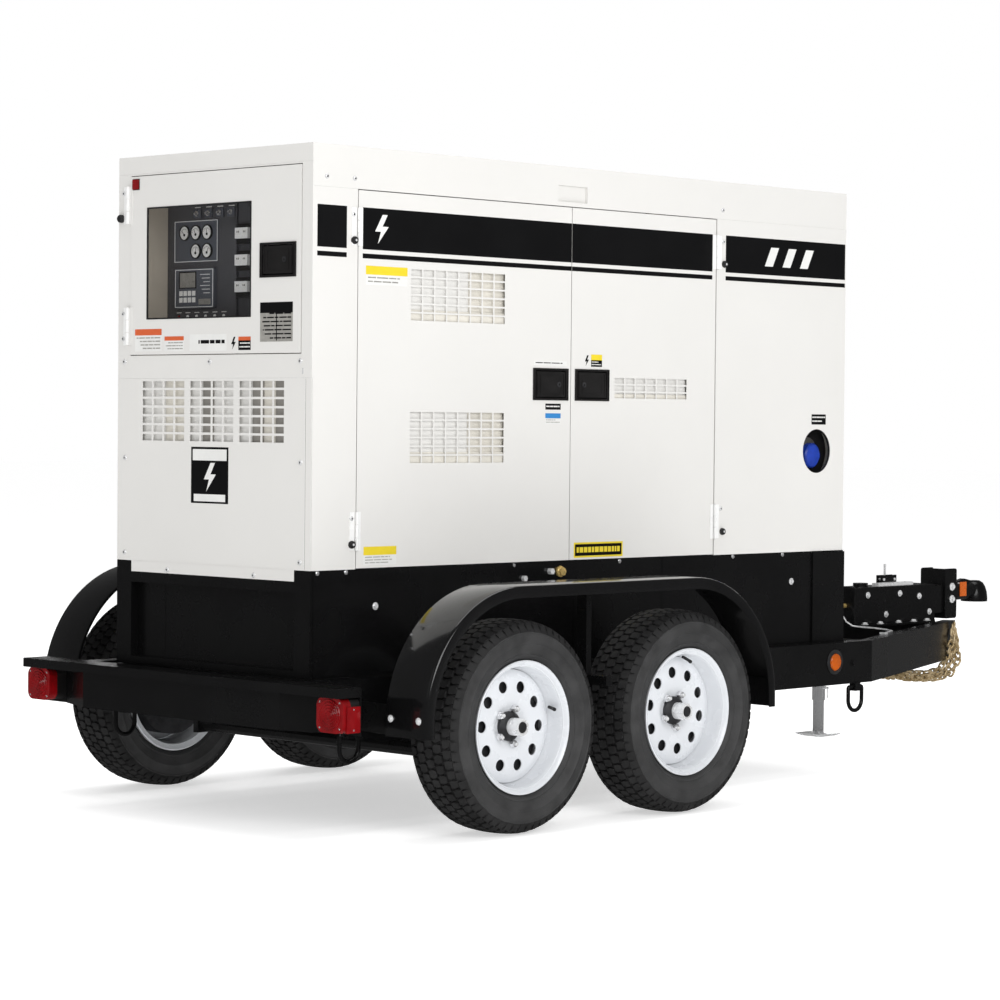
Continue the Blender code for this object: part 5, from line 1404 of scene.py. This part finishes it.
def chains():
    """Safety chains of welded links, each turned a quarter from the last, and their shackles."""
    piece = Piece("safety_chains_look")
    wire, long, wide = 0.0042, 0.0170, 0.0098
    links = [(spot + Vector((0.0, 0.0, lift)), ahead) for lift,
            spread in ((0.0, 0.0), (0.016, 0.026), (0.006, 0.052), (0.026, 0.074)) for spot,
            ahead in walk(chain_route(spread), 0.0250)]
    for number, (spot, ahead) in enumerate(links):
        across = ahead.cross(Vector(UP))
        across = across.normalized() if across.length > 0.1 else Vector((1, 0, 0))
        tilt = radians(45 + 90 * (number % 2) + 14 * sin(number * 2.1))
        across = Matrix.Rotation(tilt, 3, ahead) @ across
        loop = []
        for k in range(16):
            t = 2 * pi * k / 16
            stretch = long - wide if cos(t) > 0 else wide - long
            loop.append(spot + ahead * (stretch + wide * cos(t)) + across * wide * sin(t))
        piece.tube(loop, wire, "gold", 8, closed=True)
    for side in (-1, 1):
        bow = [(3.842, side * 0.1135, 0.4300), (3.836, side * 0.1150, 0.4180),
                (3.842, side * 0.1180, 0.4080), (3.856, side * 0.1205, 0.4060),
               (3.866, side * 0.1210, 0.4160), (3.862, side * 0.1190, 0.4290)]
        piece.tube(bow, 0.0042, "gold", 10)
        piece.tube([(3.834, side * 0.1142, 0.4290), (3.869, side * 0.1178, 0.4290)], 0.0052, "gold", 12)
    piece.done("trailer", ["safety_chains"], smooth=60.0)


# Base and machinery

def base_trim():
    """Screws and seams of the skid, the oil drain with its valve, and bolts on the bumper."""
    piece = Piece("base_trim")
    for side in (-1, 1):
        wall, axis = side * 0.4700, (0, side, 0)
        for x in (0.030, 0.150, 0.90, 1.42, 2.02, 2.30):
            piece.bolt((x, wall, 0.8040), axis, "chrome", 0.0050)
        for x, z in ((0.276, 0.694), (2.352, 0.705)):
            piece.bolt((x, wall, z), axis, "zinc", 0.0080)
        for x in (0.012, 1.190, 1.640):
            piece.box((x, side * 0.4698, 0.4800), (x + 0.0030, side * 0.4716, 0.8100), "black", 0.0006)
        piece.box((0.880, side * 0.4698, 0.742), (1.330, side * 0.4713, 0.809), "black", 0.0006)
    piece.lathe(((0, 0), (0.019, 0), (0.019, 0.007), (0.014, 0.010), (0.014, 0.018), (0.009, 0.019),
            (0, 0.019)), (1.120, -0.4712, 0.778), (0, -1, 0), "brass", 8)
    piece.rod(0.011, 0, 0.016, (1.070, -0.4712, 0.780), (0, -1, 0), "zinc", 6)
    piece.rod(0.010, 0, 0.012, (0.945, -0.4712, 0.760), (0, -1, 0), "zinc", 6)
    for y in (-0.500, 0.500):
        for z in (0.365, 0.430):
            piece.bolt((-0.0652, y, z), BACK, "black", 0.0080)
    for x, side in ((0.06, -1), (0.06, 1), (2.62, -1), (2.62, 1)):
        piece.bolt((x, side * 0.5502, 0.400), (0, side, 0), "black", 0.0090)
    piece.box((0.0292, 0.2560, 0.5000), (0.0302, 0.2580, 0.7420), "dark")
    piece.done("trailer")


def engine_bay():
    """Hoses, belt drive, filters and covers on the engine, and fins on the alternator."""
    piece = Piece("engine_trim")
    for i in range(6):
        x = 1.06 + 0.095 * i
        piece.box((x, -0.078, 1.4995), (x + 0.060, 0.078, 1.515), "engine", 0.005)
        piece.tube([(x + 0.03, -0.075, 1.512), (x + 0.03, -0.120, 1.500), (x + 0.03, -0.158, 1.440)],
                0.0045, "zinc", 8)
    piece.lathe(((0, 0), (0.048, 0), (0.050, 0.010), (0.050, 0.115), (0.044, 0.128), (0, 0.128)),
            (1.18, -0.205, 1.02), UP, "label_white", 32)
    piece.lathe(((0, 0), (0.044, 0), (0.046, 0.010), (0.046, 0.105), (0.040, 0.116), (0, 0.116)),
            (1.34, -0.205, 1.06), UP, "label_orange", 32)
    piece.lathe(((0, 0), (0.105, 0), (0.110, 0.012), (0.110, 0.300), (0.100, 0.316), (0, 0.316)),
            (1.10, 0.02, 1.690), (1, 0, 0), "plastic", 40)
    piece.tube([(1.41, 0.02, 1.690), (1.47, 0.03, 1.684), (1.52, 0.08, 1.640), (1.54, 0.15, 1.540),
            (1.53, 0.19, 1.420), (1.52, 0.19, 1.365)], 0.036, "soft_rubber", 20)
    piece.tube([(1.60, -0.05, 1.490), (1.66, -0.07, 1.540), (1.72, -0.10, 1.620), (1.78, -0.12, 1.690),
            (1.83, -0.12, 1.715)], 0.024, "soft_rubber", 18)
    piece.tube([(1.56, -0.13, 0.960), (1.62, -0.19, 0.930), (1.70, -0.26, 0.910), (1.78, -0.31, 0.920),
            (1.84, -0.33, 0.930)], 0.024, "soft_rubber", 18)
    for radius, y, z in ((0.090, 0.0, 1.14), (0.045, -0.130, 1.360), (0.055, 0.140, 1.300)):
        piece.lathe(((0, 0), (radius, 0), (radius * 0.9, 0.010), (radius, 0.020), (0, 0.020)),
                (1.6420, y, z), (1, 0, 0), "zinc", 32)
    belt = [(1.652, 0.091, 1.15), (1.652, 0.170, 1.345), (1.652, -0.115, 1.402), (1.652, -0.172, 1.375),
            (1.652, -0.090, 1.12), (1.652, 0.0, 1.049), (1.652, 0.06, 1.075)]
    piece.tube(belt, 0.0055, "soft_rubber", 8, closed=True)
    for i in range(14):
        x = 0.36 + 0.034 * i
        piece.lathe(((0.232, 0), (0.246, 0), (0.246, 0.008), (0.232, 0.008)), (x, 0, 1.18), (1, 0, 0),
                "alternator", 40)
    for x in (0.13, 0.27):
        piece.tube([(x, 0.33, 1.030), (x, 0.33, 1.052), (x + 0.02, 0.30, 1.066),
                (x + 0.10, 0.20, 1.060), (x + 0.20, 0.14, 1.020), (x + 0.32, 0.13, 0.960)], 0.0075,
                "label_orange" if x < 0.2 else "soft_rubber", 12)
    piece.done("trailer")


PLAIN = {
    "ivory": ("roof_panel", "rear_frame_panel", "front_panel", "side_panel_left", "control_door"),
    "window": ("control_window",),
    "black": ("skid_base", "rail_left", "rail_right", "cross_member", "rear_bumper", "axle_rear",
              "axle_front", "springs_left", "springs_right", "brake_actuator"),
    "alternator": ("alternator",),
    "engine": ("engine",),
    "plastic": ("cooling_fan", "battery"),
    "radiator": ("radiator",),
    "exhaust": ("muffler",),
    "tank": ("fuel_tank",),
}


def main():
    add_camera()
    add_stage()
    for mat, nodes in PLAIN.items():
        for node in nodes:
            dress(node, mat, 0.0 if mat == "window" else EDGE_BEVEL)
    rear_lower_panel()
    rear_trim()
    control_door_trim()
    control_panel()
    roof_trim()
    side_panel_right()
    fluid_tank()
    base_trim()
    engine_bay()
    paddle("control_latch", "control_latch", ("rear", -0.0022), (-0.383, -0.247), (1.727, 1.813),
            -0.345)
    for side_name, side in SIDES.items():
        side_trim(side_name, side)
        fender(side_name, side)
        tail_light(side_name, side)
        marker_lamp(side_name, side)
        for place in ("rear", "front"):
            door(side_name, side, place)
            low, high = LATCH_X[place]
            name = f"latch_{side_name}_{place}"
            lock = high - 0.045 if place == "rear" else low + 0.045
            paddle(name, name, ("side", side), (low + 0.016, high - 0.016), (1.358, 1.442), lock)
            turn = 0.35 * (1 + side) + (0.9 if place == "rear" else 2.0)
            tyre(f"tyre_{place}_{side_name}", side, AXLES[place], turn)
            wheel(f"wheel_{place}_{side_name}", side, AXLES[place], turn)
            ring_bar(f"lashing_ring_{place}_{side_name}", 0.098 if place == "rear" else 2.640, side)
    jack()
    actuator_trim()
    coupler()
    breakaway_lever()
    chains()


main()
